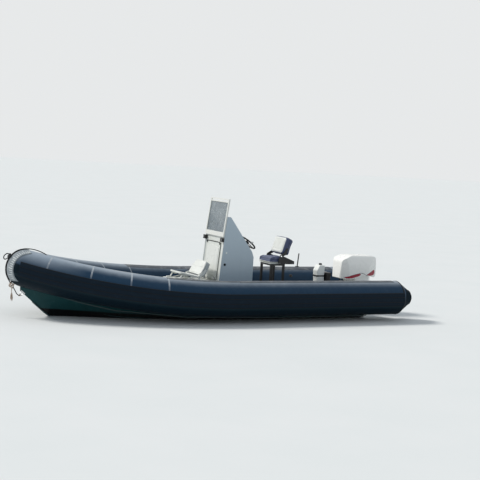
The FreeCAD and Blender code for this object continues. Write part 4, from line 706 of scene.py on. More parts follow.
def build_tubes():
    """Seam tapes, rubbing strake beads, tread patches, deck flaps, valves and cone bands of both tubes."""
    for side, word in SIDES:
        tapes = Kit("tape")
        for s in BOW_SEAMS:
            tube_band(tapes, side, s - 0.0125, s + 0.0125, 23, 172, 0.0016)
        tapes.use("tube")
        for s in BOW_SEAMS + AFT_SEAMS:
            tube_band(tapes, side, s - 0.019, s + 0.019, -78, -23, 0.0014)
        for s in AFT_SEAMS:
            tube_band(tapes, side, s - 0.019, s + 0.019, 23, 70, 0.0014)
            tube_band(tapes, side, s - 0.019, s + 0.019, 122, 172, 0.0014)
        tapes.done("seam_tapes_" + word, "tube_fabric")

        beads = Kit("edge")
        for angle, lift, size in ((STRAKE, 0.007, 0.0085), (-STRAKE, 0.007, 0.0085),
                                  (STRAKE * 0.36, 0.0125, 0.0045), (-STRAKE * 0.36, 0.0125, 0.0045)):
            line = spread(CONE_START + 0.008, nose_length(side, angle, 0.176), 90)
            beads.sweep([on_tube(side, s, angle, lift) for s in line], size,
                        ups=[tube_out(side, s, angle) for s in line], flat=0.8)
        beads.done("strake_beads_" + word, "strake_rubber")

        patch = Kit("tread")
        tube_band(patch, side, 2.66, 3.86, 74, 117, 0.0032, 0.5, 14)
        patch.done("tread_patch_" + word, "tread_rubber")

        flaps = Kit("tape")
        tube_band(flaps, side, 0.1, 4.45, 166, 187, 0.0022, 0.4, 40)
        flaps.done("deck_flap_" + word, "tube_fabric")

        valves = Kit("plastic")
        for s in (0.62, 2.4, 4.0):
            place = facing(on_tube(side, s, VALVE_ANGLE, 0.0005), tube_out(side, s, VALVE_ANGLE))
            valves.use("plastic")
            valves.disc(place, 28, (0.031, 0), (0.031, 0.003), (0.026, 0.006), (0.023, 0.006), (0.022, 0.004))
            valves.disc(place, 28, (0.017, 0.003), (0.017, 0.013), (0.014, 0.016), (0.004, 0.016), (0.003, 0.013))
            valves.use("steel")
            for k in range(6):
                turn = k * math.pi / 3
                spot = Matrix.Translation((0.0265 * math.cos(turn), 0.0265 * math.sin(turn), 0))
                valves.disc(place @ spot, 8, (0.0022, 0.0045), (0.0018, 0.0075), top=0.008)
        valves.done("air_valves_" + word, "black_plastic")

        ends = Kit("edge")
        ends.lathe([(0.122, -0.012), (0.130, -0.012), (0.133, -0.004), (0.130, 0.004), (0.124, 0.008),
                    (0.118, 0.006)], facing((-0.68, side * TUBE_SPACING, TUBE_HEIGHT), AFT), 48, ring=True)
        ends.lathe([(0.284, -0.016), (0.2875, -0.015), (0.288, 0), (0.2795, 0.014), (0.276, 0.014)],
                   facing((CONE_START, side * TUBE_SPACING, TUBE_HEIGHT), AFT), 64, ring=True)
        ends.done("cone_bands_" + word, "strake_rubber")


NOSE_HUB = Vector((5.62, 0, 0.74))


def build_nose():
    """Gathers and bindings of the chafe wrap, and the strap down the middle of the nose."""
    skin = Skin("nose_guard")

    def run(start, end, steps):
        """Points on the wrap between two places, each a turn about the hub in degrees and a y."""
        found = []
        for k in range(steps + 1):
            turn, y = (a + (b - a) * k / steps for a, b in zip(start, end))
            ray = Vector((math.cos(math.radians(turn)), 0, math.sin(math.radians(turn))))
            found += skin.run([NOSE_HUB + ACROSS * y + ray * 0.9], -ray)
        return found

    # The folds take the paler colour: painted highlight on their ridges.
    gathers = Kit("gather_highlight")
    for side, _ in SIDES:
        for k in range(19):
            turn = -20.5 + 4.4 * k
            found = run((turn + 1.5, side * (0.085 + 0.02 * math.sin(k * 2.4))), (turn, side * 0.156), 6)
            count = len(found) - 1
            if count > 3:
                gathers.follow(found, -0.001, [0.002 + 0.0075 * (i / count) ** 0.7 for i in range(count + 1)], 0.8)
    gathers.done("nose_gathers", "tread_rubber")

    binding = Kit("wrap")
    for y in (-0.161, 0.161):
        binding.follow(run((-22, y), (62, y), 60), 0.0015, 0.0075, 0.55)
    binding.done("nose_binding", "tread_rubber")

    strap = Kit("edge")
    strap.follow(run((-23, 0), (63, 0), 60), 0.0012, 0.024, 0.11)
    strap.done("nose_strap", "strake_rubber")


# The chine: x, distance from the centreline, height
CHINE = [(0.075, 0.8, 0.04), (2.0, 0.8, 0.04), (3.4, 0.752, 0.064), (4.5, 0.536, 0.15), (4.95, 0.368, 0.24),
         (5.38, 0.172, 0.345)]


def chine_width(x):
    a, b = next((a, b) for a, b in zip(CHINE, CHINE[1:]) if x <= b[0])
    return a[1] + (b[1] - a[1]) * (x - a[0]) / (b[0] - a[0])


def build_hull():
    """Chine rails, spray rails on the bottom and a band along the keel."""
    skin = Skin("hull")
    rails, strips = Kit("rail"), Kit("rail")
    for side, _ in SIDES:
        corners = [Vector((x, side * y, z)) for x, y, z in CHINE]
        points = [p for a, b in zip(corners, corners[1:]) for p in spread(a, b, 6)[:-1]] + corners[-1:]
        count = len(points)
        rails.sweep(points, [0.014 * min(1.0, 0.35 + (count - 1 - i) * 0.12) for i in range(count)],
                    ups=[Vector((0, -side * 0.6, 0.8))] * count, flat=0.65)
        for share, end in ((0.36, 4.2), (0.68, 4.6)):
            run = skin.run([(x, side * share * chine_width(x), -0.5) for x in spread(0.12, end, 40)], UP)
            strips.follow(run, 0.002, [0.015 * min(1, 0.4 + (40 - k) * 0.1) for k in range(41)], 0.6, sides=6)
    rails.done("chine_rails", "hull_gelcoat")
    keel = [p + UP * 0.003 for p, _ in skin.run([(x, 0, -0.6) for x in spread(0.1, 5.65, 60)], UP)]
    strips.sweep(keel, 0.02, ups=[UP] * len(keel), flat=0.6)
    strips.done("bottom_strakes", "hull_gelcoat")


def lean_matrix(x, z, degrees):
    """A frame at a point that leans aft by an angle: local X ahead, Y to port, Z up its slope."""
    return Matrix.Translation((x, 0, z)) @ Matrix.Rotation(-math.radians(degrees), 4, "Y")


# The console's front face and the windscreen, and a frame for outlines of y and z that are extruded ahead
FRONT = lean_matrix(2.663, 0.33, math.degrees(math.atan(0.085)))
FRONT_OUT = FRONT.to_3x3() @ AHEAD
SCREEN = lean_matrix(2.5808, 1.303, 6.9)
END_ON = Matrix(((0, 0, 1, 0), (1, 0, 0, 0), (0, 1, 0, 0), (0, 0, 0, 1)))
CONSOLE_SIDE = 0.345
DASH_VIEW = Vector((0.5, 0, -0.75))


def build_hatch():
    """Raised panel, gasket, latches and hinges of the console's front hatch."""
    foot, head, left, right = 0.2691, 0.875, -0.27, 0.23

    def front(x, y, z):
        return FRONT @ Vector((x, y, z))

    hatch = Kit("white")
    arch = [(right - 0.035 - (right - left - 0.07) * k / 12, head - 0.09 + 0.035 * math.sin(math.pi * k / 12))
            for k in range(1, 12)]
    hatch.prism([(left + 0.035, foot + 0.05), (right - 0.035, foot + 0.05), (right - 0.035, head - 0.09), *arch,
                 (left + 0.035, head - 0.09)], -0.002, 0.0055, 0.004, FRONT @ END_ON, 3)
    for material, y in (("edge", right + 0.004), ("white", left - 0.004)):
        hatch.use(material)
        hatch.sweep([front(0.001, y, z) for z in spread(foot + 0.02, head - 0.01, 8)], 0.0042)
    hatch.use("edge")
    hatch.sweep([front(0.0045, left - 0.002 + (right - left + 0.004) * k / 14,
                       head + 0.0045 - 0.010 * (2 * k / 14 - 1) ** 4) for k in range(15)], 0.0058)
    for y in (-0.245, 0.205):
        hatch.block((0.0, y - 0.008, head - 0.036), (0.009, y + 0.008, head + 0.006), 0.002, FRONT)
    hatch.use("steel")
    for y in (-0.2, 0.16):
        hatch.block((0.001, y - 0.028, foot - 0.03), (0.007, y + 0.028, foot + 0.035), 0.002, FRONT)
        hatch.disc(FRONT @ Matrix.Translation((0.009, y, foot - 0.003)) @ Matrix.Rotation(math.pi / 2, 4, "X"), 12,
                   (0.0055, -0.03), (0.0055, 0.03))
        hatch.screws([front(0.007, y + dy, foot + dz) for dy in (-0.018, 0.018) for dz in (-0.02, 0.022)],
                     FRONT_OUT, 0.0042)
    hatch.done("hatch_fittings", "gelcoat")


def build_dash():
    """Gauges, switches and compass."""
    skin = Skin("console_dash")
    dash = Kit("edge")
    for x, y, r in ((2.36, -0.20, 0.047), (2.36, -0.075, 0.047), (2.36, 0.05, 0.047), (2.28, -0.24, 0.031),
                    (2.28, 0.08, 0.031)):
        place = facing(*skin.hit((x - 0.5, y, 1.9), DASH_VIEW))
        dash.use("edge")
        dash.lathe([(0.86 * r, 0.001), (r, 0.001), (1.06 * r, 0.004), (1.02 * r, 0.0095), (0.9 * r, 0.011),
                    (0.85 * r, 0.007)], place, 40, ring=True)
        dash.disc(place, 16, (0.12 * r, 0.0048), (0.1 * r, 0.0075))
        dash.use("dial")
        dash.disc(place, 40, (0.88 * r, 0.0004), (0.88 * r, 0.0042))
        dash.use("needle")
        for k in range(13):
            dash.block((-0.0009, 0.62 * r, 0.004), (0.0009, 0.8 * r, 0.0050), 0.0002,
                       place @ Matrix.Rotation(math.radians(-120 + 20 * k), 4, "Z"), 1)
        dash.block((-0.0013, -0.1 * r, 0.005), (0.0013, 0.68 * r, 0.006), 0.0003,
                   place @ Matrix.Rotation(0.9 - x, 4, "Z"), 1)
        dash.use("glass")
        dash.disc(place, 40, (0.86 * r, 0.0082), (0.86 * r, 0.0092), (0.5 * r, 0.0102), top=0.0108)
    dash.done("gauges", "black_plastic")

    panel = Kit("plastic")
    place = facing(*skin.hit((1.73, -0.02, 1.9), DASH_VIEW), "X")
    panel.block((-0.03, 0.085, 0), (0.03, 0.265, 0.004), 0.0015, place)
    panel.use("edge")
    for y in spread(0.105, 0.245, 4):
        panel.block((-0.016, y - 0.0095, 0.003), (0.016, y + 0.0095, 0.007), 0.0012, place)
        panel.block((-0.012, y - 0.007, 0.006), (0.012, y + 0.007, 0.0115), 0.0018, place)
    panel.done("switch_panel", "black_plastic")

    compass = Kit("edge")
    base = Matrix.Translation((2.485, 0.0, 1.3122))
    compass.disc(base, 40, (0.052, 0), (0.054, 0.004), (0.047, 0.016), (0.043, 0.03), (0.041, 0.032))
    compass.use("dial")
    compass.disc(base, 40, (0.036, 0.0315), (0.036, 0.05), (0.034, 0.053))
    compass.use("glass")
    turns = [math.pi / 2 * k / 9 for k in range(9)]
    compass.lathe([(0.0405, 0.0305), *((0.0405 * math.cos(a), 0.036 + 0.04 * math.sin(a)) for a in turns),
                   (0, 0.076), (0, 0.072),
                   *((0.0375 * math.cos(a), 0.036 + 0.0365 * math.sin(a)) for a in reversed(turns))], base, 40)
    compass.done("compass", "black_plastic")


def build_console():
    """Corner trims, side fittings, screen beads and screws, lamp lenses."""
    build_hatch()
    trims, sides, lamps = Kit("white"), Kit("edge"), Kit("lamp")
    box_low, box_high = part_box("shoulder_lamps")
    for side, _ in SIDES:
        trims.sweep([FRONT @ Vector((0.0015, side * 0.3325, z)) for z in spread(0.004, 0.959, 24)], 0.0118, 10,
                    ups=[FRONT_OUT] * 25, flat=0.42)
        out = ACROSS * side
        wall = side * CONSOLE_SIDE
        sides.use("edge")
        sides.disc(facing((2.551, wall, 0.853), out), 32, (0.021, 0), (0.021, 0.003), (0.0185, 0.006), (0.014, 0.006),
                   (0.012, 0.0025))
        sides.use("white")
        sides.disc(facing((2.531, wall, 1.046), out), 28, (0.014, 0), (0.014, 0.0022), (0.012, 0.004))
        sides.use("steel")
        sides.screws([(x, wall, z) for x, z in ((2.62, 0.39), (2.06, 0.39), (2.34, 0.39), (2.60, 0.62), (2.06, 0.72),
                                                (2.562, 1.13), (2.515, 1.255))], out, 0.0052)
        lens = (box_high[0] - 0.0005, side * 0.3305, (box_low[2] + box_high[2]) / 2)
        lamps.disc(facing(lens, FRONT_OUT), 24, (0.0105, 0.0), (0.0105, 0.0035), (0.006, 0.006), top=0.0065)
    trims.done("corner_trims", "gelcoat")
    sides.done("console_side_fittings", "stainless")
    build_dash()

    screen = Kit("iron")
    spots = [(y, 0.030) for y in spread(-0.31, 0.31, 8)] + [(y, 0.613) for y in spread(-0.28, 0.28, 4)]
    spots += [(side * 0.3195, z) for side, _ in SIDES for z in spread(0.10, 0.59, 5)]
    screen.screws([SCREEN @ Vector((0.0005, y, z)) for y, z in spots], SCREEN.to_3x3() @ AHEAD, 0.0075)
    screen.use("edge")
    beads = [[(y, z) for y in spread(-0.304, 0.304, 10)] for z in (0.0765, 0.5605)]
    beads += [[(side * 0.3045, z) for z in spread(0.078, 0.559, 10)] for side, _ in SIDES]
    for bead in beads:
        screen.sweep([SCREEN @ Vector((-0.0015, y, z)) for y, z in bead], 0.0032)
    screen.done("screen_fittings", "stainless")
    lamps.done("lamp_lenses", "acrylic")


# Soft parts
def fixed(piece):
    """Replace a piece's mesh by what its modifiers make of it."""
    graph = bpy.context.evaluated_depsgraph_get()
    data = bpy.data.meshes.new_from_object(piece.evaluated_get(graph))
    old = piece.data
    piece.modifiers.clear()
    piece.data = data
    bpy.data.meshes.remove(old)


def swollen(name, node, shrink, middle, base, cap, hold, voxel=0.0065, pressure=4.0):
    """A copy of a CAD form, shrunk about a point, remeshed and blown up as cloth; points that hold(p) names stay."""
    source = NODES[node].data
    back = base.inverted()
    data = bpy.data.meshes.new(name)
    data.from_pydata([base @ Vector(m + (c - m) * s for c, m, s in zip(back @ vertex.co, middle, shrink))
                      for vertex in source.vertices], [], [tuple(p.vertices) for p in source.polygons])
    piece = linked(name, data)
    remesh = piece.modifiers.new("remesh", "REMESH")
    remesh.mode = "VOXEL"
    remesh.voxel_size = voxel
    fixed(piece)
    rest = [v.co.copy() for v in piece.data.vertices]
    cloth = piece.modifiers.new("cloth", "CLOTH")
    cloth.collision_settings.use_collision = False
    cloth.point_cache.frame_start, cloth.point_cache.frame_end = 1, 20
    settings = cloth.settings
    settings.quality = 6
    settings.mass = 0.15
    settings.tension_stiffness = settings.compression_stiffness = 12
    settings.shear_stiffness = 6
    settings.bending_stiffness = 0.4
    settings.use_pressure = True
    settings.uniform_pressure_force = pressure
    settings.effector_weights.gravity = 0
    group = piece.vertex_groups.new(name="hold")
    group.add([i for i, p in enumerate(rest) if hold(back @ p)], 1.0, "REPLACE")
    settings.vertex_group_mass = "hold"
    for step in range(1, 21):
        scene.frame_set(step)
    fixed(piece)
    scene.frame_set(1)
    piece.vertex_groups.clear()
    for vertex, start in zip(piece.data.vertices, rest):
        move = vertex.co - start
        if move.length > cap:
            vertex.co = start + move.normalized() * cap
    return piece


def grooved(piece, base, depth, width, *lines):
    """Press sewn lines into a piece: each gives a signed distance for a local point."""
    back = base.inverted()
    data = piece.data
    data.update()
    normals = [v.normal.copy() for v in data.vertices]
    for vertex, normal in zip(data.vertices, normals):
        place = back @ vertex.co
        aways = (abs(line(place)) / width for line in lines)
        vertex.co -= normal * max((depth * math.exp(-away * away) for away in aways if away < 3), default=0.0)
    data.update()


def finished_soft(piece, body, node, materials, pick=lambda spot: 0):
    data = piece.data
    data.materials.clear()
    for material in materials:
        data.materials.append(M[material])
    for face in data.polygons:
        face.material_index = pick(face.center)
        face.use_smooth = True
    divide = piece.modifiers.new("divide", "SUBSURF")
    divide.levels = divide.render_levels = 1
    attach(piece, body)
    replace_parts(piece, node)


def hugging(piece, base, loop, lift):
    """A local loop moved onto a soft piece and lifted off it."""
    tree = tree_of(piece.data)
    hits = (tree.find_nearest(base @ Vector(spot))[:2] for spot in loop)
    return [place + normal * lift for place, normal in hits]


def dense(corners, least=1):
    """Points from corner to corner in a plane, about 20 mm apart; the last corner is left out."""
    line = []
    for (a, b), (c, d) in zip(corners, corners[1:]):
        count = max(least, int(math.hypot(c - a, d - b) / 0.02))
        line += [(a + (c - a) * k / count, b + (d - b) * k / count) for k in range(count)]
    return line


def rounded_loop(half_y, half_z, radius):
    """Points round a rectangle with rounded corners, about the origin."""
    loop = []
    for cy, cz, start in ((1, 1, 0), (-1, 1, 90), (-1, -1, 180), (1, -1, 270)):
        for turn in (math.radians(start + 90 * k / 6) for k in range(7)):
            loop.append((cy * (half_y - radius) + radius * math.cos(turn),
                         cz * (half_z - radius) + radius * math.sin(turn)))
    return dense(loop + loop[:1])


def build_helm_seat():
    """Cushion with a pale lower band and piping, the two-tone back, knobs and bolts."""
    base = Matrix.Translation((1.445, 0.0, 0.92))
    cushion = swollen("helm_cushion", "helm_seat_cushion", (0.955, 0.965, 0.82), (0, 0, -0.054), base, 0.015,
                      lambda p: p.z < -0.047)

    def on_top(p, x):
        """Distance from a seam across the top."""
        return p.x - x if p.z > 0.03 and abs(p.y) < 0.155 else 1

    grooved(cushion, base, 0.0045, 0.006, lambda p: p.z - 0.026 if abs(p.y) > 0.16 or abs(p.x) > 0.13 else 1,
            lambda p: on_top(p, 0.055), lambda p: on_top(p, -0.06))
    finished_soft(cushion, "boat", "helm_seat_cushion", ("navy", "white_vinyl"),
                  lambda spot: int(spot.z < 0.886))
    piping = Kit("navy_piping")
    for level, material, size in ((0.026, "navy_piping", 0.0042), (-0.034, "white_vinyl", 0.0038)):
        piping.use(material)
        loop = [(x, y, level) for x, y in rounded_loop(0.162, 0.198, 0.035)]
        piping.sweep(hugging(cushion, base, loop, 0.0012), size, closed=True)
    piping.done("helm_cushion_piping", "vinyl_blue")

    lean = lean_matrix(1.425, 0.985, 18)
    shell = swollen("helm_back_bolster", "helm_back_shell", (0.985, 0.955, 0.955), (-0.018, 0, 0.20), lean, 0.0115,
                    lambda p: p.x > -0.025)

    def seam(z):
        """Local x of the curved seam round the bolster, by height from its middle."""
        return -0.075 - 0.012 * math.cos(z * 9)

    grooved(shell, lean, 0.004, 0.006,
            lambda p: seam(p.z - 0.2) - p.x if abs(p.y) > 0.12 or abs(p.z - 0.2) > 0.1 else 1)
    finished_soft(shell, "helm_seat_back", "helm_back_shell", ("navy",))
    pad = swollen("helm_back_face", "helm_back_pad", (0.62, 1.0, 1.0), (-0.0177, 0, 0.20), lean, 0.0095,
                  lambda p: p.x < -0.0145, 0.005, 6.0)
    grooved(pad, lean, 0.0035, 0.005, *(lambda p, z=z: p.z - z if abs(p.y) < 0.15 else 1 for z in (0.285, 0.12)))
    finished_soft(pad, "helm_seat_back", "helm_back_pad", ("white_vinyl",))
    piping = Kit("navy_piping")
    loop = [(seam(z), y, z + 0.206) for y, z in rounded_loop(0.2, 0.148, 0.05)]
    piping.sweep(hugging(shell, lean, loop, 0.001), 0.0042, closed=True)
    piping.done("helm_back_piping", "vinyl_blue", "helm_seat_back")

    knobs = Kit("steel")
    for side, _ in SIDES:
        out = ACROSS * side
        knobs.use("steel")
        knobs.disc(facing((1.425, side * 0.2338, 0.985), out), 24, (0.013, 0), (0.0155, 0.003), (0.0155, 0.010),
                   (0.012, 0.015), top=0.016)
        knobs.screws([(x, side * 0.2268, 0.872) for x in (1.20, 1.33, 1.44)], out, 0.006)
        knobs.use("white")
        for x in (1.611, 1.289):
            knobs.disc(Matrix.Translation((x, side * 0.192, 0.3302)), 20, (0.036, 0), (0.036, 0.004), (0.032, 0.007))
    knobs.done("helm_seat_fittings", "stainless")


def build_forward_seat():
    """White folding back with a ribbed side band in painted shade, rim and pads of the pan, knobs, locker lid and
    hinges.
    """
    lean = lean_matrix(2.95, 0.65, 30)
    back = lean.inverted()
    piece = swollen("forward_back_cushion", "forward_seat_back", (0.95, 0.985, 0.985), (-0.05, 0, 0.155), lean,
                    0.0105, lambda p: abs(p.y) > 0.19 and p.z < 0.16)

    def narrowing(z, reach):
        """How much of its narrowing the back has reached at a height."""
        return max(0.0, min(1.0, (z - 0.15) / reach))

    def off_face(p):
        return abs(p.y) > 0.189 - 0.04 * narrowing(p.z, 0.13) or p.z > 0.25 or p.z < 0.055

    def rib(p, step=0.0152):
        """Distance to the nearest sewn line round the side band."""
        return (p.x + 0.088) % step - step / 2 if -0.088 < p.x < -0.012 and off_face(p) else 1

    grooved(piece, lean, 0.003, 0.0035, rib, lambda p: p.z - 0.155 if p.x > -0.02 and abs(p.y) < 0.15 else 1)
    # The ribbed side band gets the darker vinyl: painted shade.
    finished_soft(piece, "forward_seat_back", "forward_seat_back", ("white_vinyl", "shaded_grey_vinyl"),
                  lambda spot: int(-0.09 < (back @ spot).x < -0.02 and off_face(back @ spot)))
    piping = Kit("white_vinyl")
    for x in (-0.0105, -0.0905):
        loop = [(x, y * (1 - 0.042 * narrowing(z + 0.155, 0.135) / 0.22), z + 0.157)
                for y, z in rounded_loop(0.212, 0.122, 0.045)]
        piping.sweep(hugging(piece, lean, loop, 0.001), 0.0042, closed=True)
    piping.done("forward_back_piping", "vinyl_white", "forward_seat_back")

    pan = lean_matrix(2.95, 0.65, -12)
    trim = Kit("white")
    rim = [pan @ Vector((x + 0.162, y, -0.0085)) for x, y in rounded_loop(0.158, 0.205, 0.045)]
    trim.sweep(rim, 0.0075, closed=True)
    for y in (-0.10, 0.0, 0.10):
        trim.sweep([pan @ Vector((x, y, -0.0085)) for x in spread(0.03, 0.28, 10)], 0.0055,
                   ups=[pan.to_3x3() @ UP] * 11, flat=0.7)
    trim.done("pan_rim", "gelcoat")

    fittings = Kit("white")
    for side, _ in SIDES:
        out = ACROSS * side
        fittings.use("white")
        fittings.disc(facing((2.95, side * 0.2472, 0.65), out), 24, (0.013, 0), (0.0165, 0.003), (0.0165, 0.011),
                      (0.012, 0.0165), top=0.0175)
        fittings.use("steel")
        fittings.screws([(x, side * 0.247, z) for x, z in ((2.925, 0.5815), (2.99, 0.5795))], out, 0.0045)
        fittings.screws([(x, side * y, 0.5838) for x in (3.245, 3.335) for y in (0.08, 0.19)], UP, 0.005)
    fittings.done("forward_seat_fittings", "stainless")

    locker = Kit("edge")
    locker.sweep([(3.09 + x, y * 0.98, 0.5755) for x, y in rounded_loop(0.372, 0.262, 0.03)], 0.0032, closed=True)
    locker.use("steel")
    for side, _ in SIDES:
        for x in (2.86, 3.3):
            locker.block((x - 0.022, side * 0.28 - 0.0025, 0.492), (x + 0.022, side * 0.28 + 0.0065, 0.542), 0.002)
            locker.block((x - 0.013, side * 0.286 - 0.0045, 0.52), (x + 0.013, side * 0.286 + 0.0045, 0.566), 0.002)
    locker.use("white")
    locker.prism(rounded_loop(0.19, 0.08, 0.02), -0.003, 0.004, 0.002, Matrix.Translation((3.48, 0, 0.45)) @ END_ON)
    locker.done("locker_fittings", "gelcoat")


# Motor: outlines of the two stripes, the line over them and the cowl's crease, in x and z
STRIPES = (
    [(0.088, 0.622), (0.05, 0.634), (0.0, 0.649), (-0.06, 0.664), (-0.13, 0.680), (-0.20, 0.692), (-0.226, 0.680),
     (-0.19, 0.650), (-0.13, 0.634), (-0.06, 0.616), (0.0, 0.609), (0.06, 0.609)],
    [(-0.352, 0.674), (-0.40, 0.694), (-0.455, 0.720), (-0.525, 0.758), (-0.547, 0.724), (-0.538, 0.682),
     (-0.50, 0.662), (-0.444, 0.654), (-0.40, 0.658), (-0.365, 0.662)],
)
ARCH = [(0.10, 0.6225), (0.04, 0.639), (-0.03, 0.6585), (-0.10, 0.6755), (-0.17, 0.690), (-0.225, 0.6985),
        (-0.27, 0.696), (-0.315, 0.680), (-0.352, 0.662), (-0.392, 0.692), (-0.45, 0.719), (-0.515, 0.754)]
CREASE = [(0.112, 0.868), (0.06, 0.914), (0.0, 0.936), (-0.10, 0.955), (-0.25, 0.963), (-0.40, 0.957),
          (-0.505, 0.93), (-0.545, 0.875)]


def smooth_line(points, steps):
    """Points along a smooth curve through the given ones."""
    line = []
    padded = [points[0], *points, points[-1]]
    for i in range(1, len(padded) - 2):
        a, b, c, d = (Vector(p) for p in padded[i - 1:i + 3])
        for t in (k / steps for k in range(steps)):
            line.append(0.5 * (2 * b + (c - a) * t + (2 * a - 5 * b + 4 * c - d) * t * t
                               + (3 * b - a - 3 * c + d) * t ** 3))
    return line + [Vector(points[-1])]


def decal(kit, outline, thick, cast):
    """A thin closed sheet with a given outline, laid on a skin."""
    form = bmesh.new()
    base = form.faces.new([form.verts.new((x, z, 0)) for x, z in outline])
    bmesh.ops.triangulate(form, faces=[base])
    for _ in range(3):
        long = [e for e in form.edges if e.calc_length() > 0.018]
        if not long:
            break
        bmesh.ops.subdivide_edges(form, edges=long, cuts=1)
        bmesh.ops.triangulate(form, faces=form.faces)
    low, high = {}, {}
    sheet = bmesh.new()
    for vertex in form.verts:
        tries = (cast(vertex.co.x, vertex.co.y + lift * 0.004) for lift in range(8))
        place, normal = next(hit for hit in tries if hit[0] is not None)
        low[vertex] = sheet.verts.new(place - normal * 0.0015)
        high[vertex] = sheet.verts.new(place + normal * thick)
    for face in form.faces:
        sheet.faces.new([high[v] for v in face.verts])
        sheet.faces.new([low[v] for v in reversed(face.verts)])
    for edge in form.edges:
        if len(edge.link_faces) == 1:
            a, b = edge.verts
            sheet.faces.new((low[a], low[b], high[b], high[a]))
    form.free()
    kit.add(sheet)


def build_motor():
    """Stripes, ridges, latch and creases of the cowl, bolts and water intakes of the leg."""
    skin = Skin("motor_cowl")
    stripes, creases, ridges, latch = Kit("crimson"), Kit("cowl"), Kit("cowl"), Kit("steel")
    for side, _ in SIDES:
        inward = -ACROSS * side
        stripes.use("crimson")
        for outline in STRIPES:
            decal(stripes, smooth_line([*outline, outline[0]], 4)[:-1], 0.0012,
                  lambda x, z: skin.hit((x, side * 0.6, z), inward))
        stripes.use("edge")
        run = skin.run([(x, side * 0.6, z) for x, z in smooth_line(ARCH, 6)], inward)
        last = len(run) - 1
        stripes.follow(run, 0.0004, [0.0012 + 0.0022 * math.sin(math.pi * i / last) for i in range(last + 1)], 0.5)
        run = skin.run([(x, side * 0.6, z) for x, z in smooth_line(CREASE, 7)], (0, -side, -0.02))
        creases.follow(run, -0.001, 0.0065, 0.55)
        run = skin.run([(0.055 - 0.56 * k / 26, side * (0.085 + 0.03 * math.sin(math.pi * k / 26)), 1.4)
                        for k in range(27)], -UP)
        ridges.follow(run, -0.001, 0.006, 0.6)
    stripes.done("cowl_stripes", "motor_paint", "outboard")
    ridges.done("cowl_ridges", "motor_paint", "outboard")
    place = facing(*skin.hit((-1.2, 0, 0.69), AHEAD))
    latch.block((-0.028, -0.034, -0.004), (0.028, 0.034, 0.007), 0.003, place)
    latch.use("edge")
    latch.block((-0.018, -0.02, 0.006), (0.018, 0.028, 0.015), 0.004, place)
    latch.done("cowl_latch", "black_plastic", "outboard")
    creases.done("cowl_trim", "motor_paint", "outboard")

    skin = Skin("motor_leg")
    fine = Kit("steel")
    bolts = ((-0.16, 0.43), (-0.16, 0.30), (-0.3, 0.46), (-0.33, 0.12), (-0.2, 0.1), (-0.2, -0.08))
    for side, _ in SIDES:
        inward = -ACROSS * side
        fine.use("steel")
        for place, normal in skin.run([(x, side * 0.5, z) for x, z in bolts], inward):
            fine.screws([place], normal, 0.0085)
        fine.use("slot")
        for z in spread(-0.225, -0.293, 4):
            run = skin.run([(x, side * 0.5, z + 0.04 * (x + 0.19)) for x in spread(-0.19, -0.245, 6)], inward)
            if len(run) > 3:
                fine.follow(run, -0.001, 0.0042, 0.6)
    fine.done("leg_fittings", "stainless", "outboard")


def build_stern():
    """Bolts, lifting eyes and drains of the transom, cap grip and straps of the tank, battery strap."""
    kit = Kit("steel")
    kit.screws([(-0.0005, y, z) for y in (-0.25, 0.25) for z in (0.33, 0.41)], AFT, 0.011)
    kit.screws([(-0.0005, side * 0.72, z) for side, _ in SIDES for z in (0.20, 0.30)], AFT, 0.008)
    for side, _ in SIDES:
        place = facing((0, side * 0.46, 0.11), AFT)
        kit.use("edge")
        kit.lathe([(0.008, 0), (0.026, 0), (0.026, 0.003), (0.02, 0.007), (0.011, 0.007), (0.009, 0.004)], place, 28,
                  ring=True)
        kit.disc(place, 20, (0.0095, -0.002), (0.0095, 0.0028))
        kit.use("steel")
        middle = Vector((-0.004, side * 0.62, 0.25))
        kit.block(middle - Vector((0.001, 0.026, 0.045)), middle + Vector((0.004, 0.026, 0.045)), 0.002)
        eye = ((-0.001, -0.028), (-0.02, -0.028), (-0.036, -0.018), (-0.042, 0), (-0.036, 0.018), (-0.02, 0.028),
               (-0.001, 0.028))
        kit.sweep([middle + Vector((x, 0, z)) for x, z in eye], 0.006, 10)
    kit.done("transom_fittings", "stainless")

    tank = Kit("edge")
    top = Matrix.Translation((0.615, 0.205, 0.845))
    for turn in spread(0, 2 * math.pi, 20)[:-1]:
        spot = (0.0262 * math.cos(turn), 0.0262 * math.sin(turn), 0.012)
        tank.disc(top @ Matrix.Translation(spot), 6, (0.0022, -0.009), (0.0022, 0.009))
    tank.disc(top, 28, (0.022, 0.0235), (0.0235, 0.025), (0.021, 0.0275), (0.009, 0.0275), (0.008, 0.025))
    tank.use("webbing")
    for z in (0.47, 0.66):
        outs = [Vector((x, y, 0)) for x, y in rounded_loop(0.0768, 0.0768, 0.016)]
        tank.sweep([Vector((0.64, 0.205, z)) + out for out in outs], 0.012, closed=True,
                   ups=[out.normalized() for out in outs], flat=0.16)
    tank.done("tank_fittings", "black_plastic")

    strap = Kit("webbing")
    corners = [(0.4655, 0.40), (0.4655, 0.7165), (0.4685, 0.7212), (0.5555, 0.7212), (0.5585, 0.7165), (0.5585, 0.40)]
    points = [Vector((x, 0.205, z)) for x, z in dense(corners, 2) + corners[-1:]]
    strap.sweep(points, 0.019, ups=[(p - Vector((0.512, 0.205, 0.55))).normalized() for p in points], flat=0.1)
    strap.use("steel")
    strap.block((0.49, 0.182, 0.7195), (0.53, 0.228, 0.7255), 0.0015)
    strap.done("battery_strap", "black_plastic")


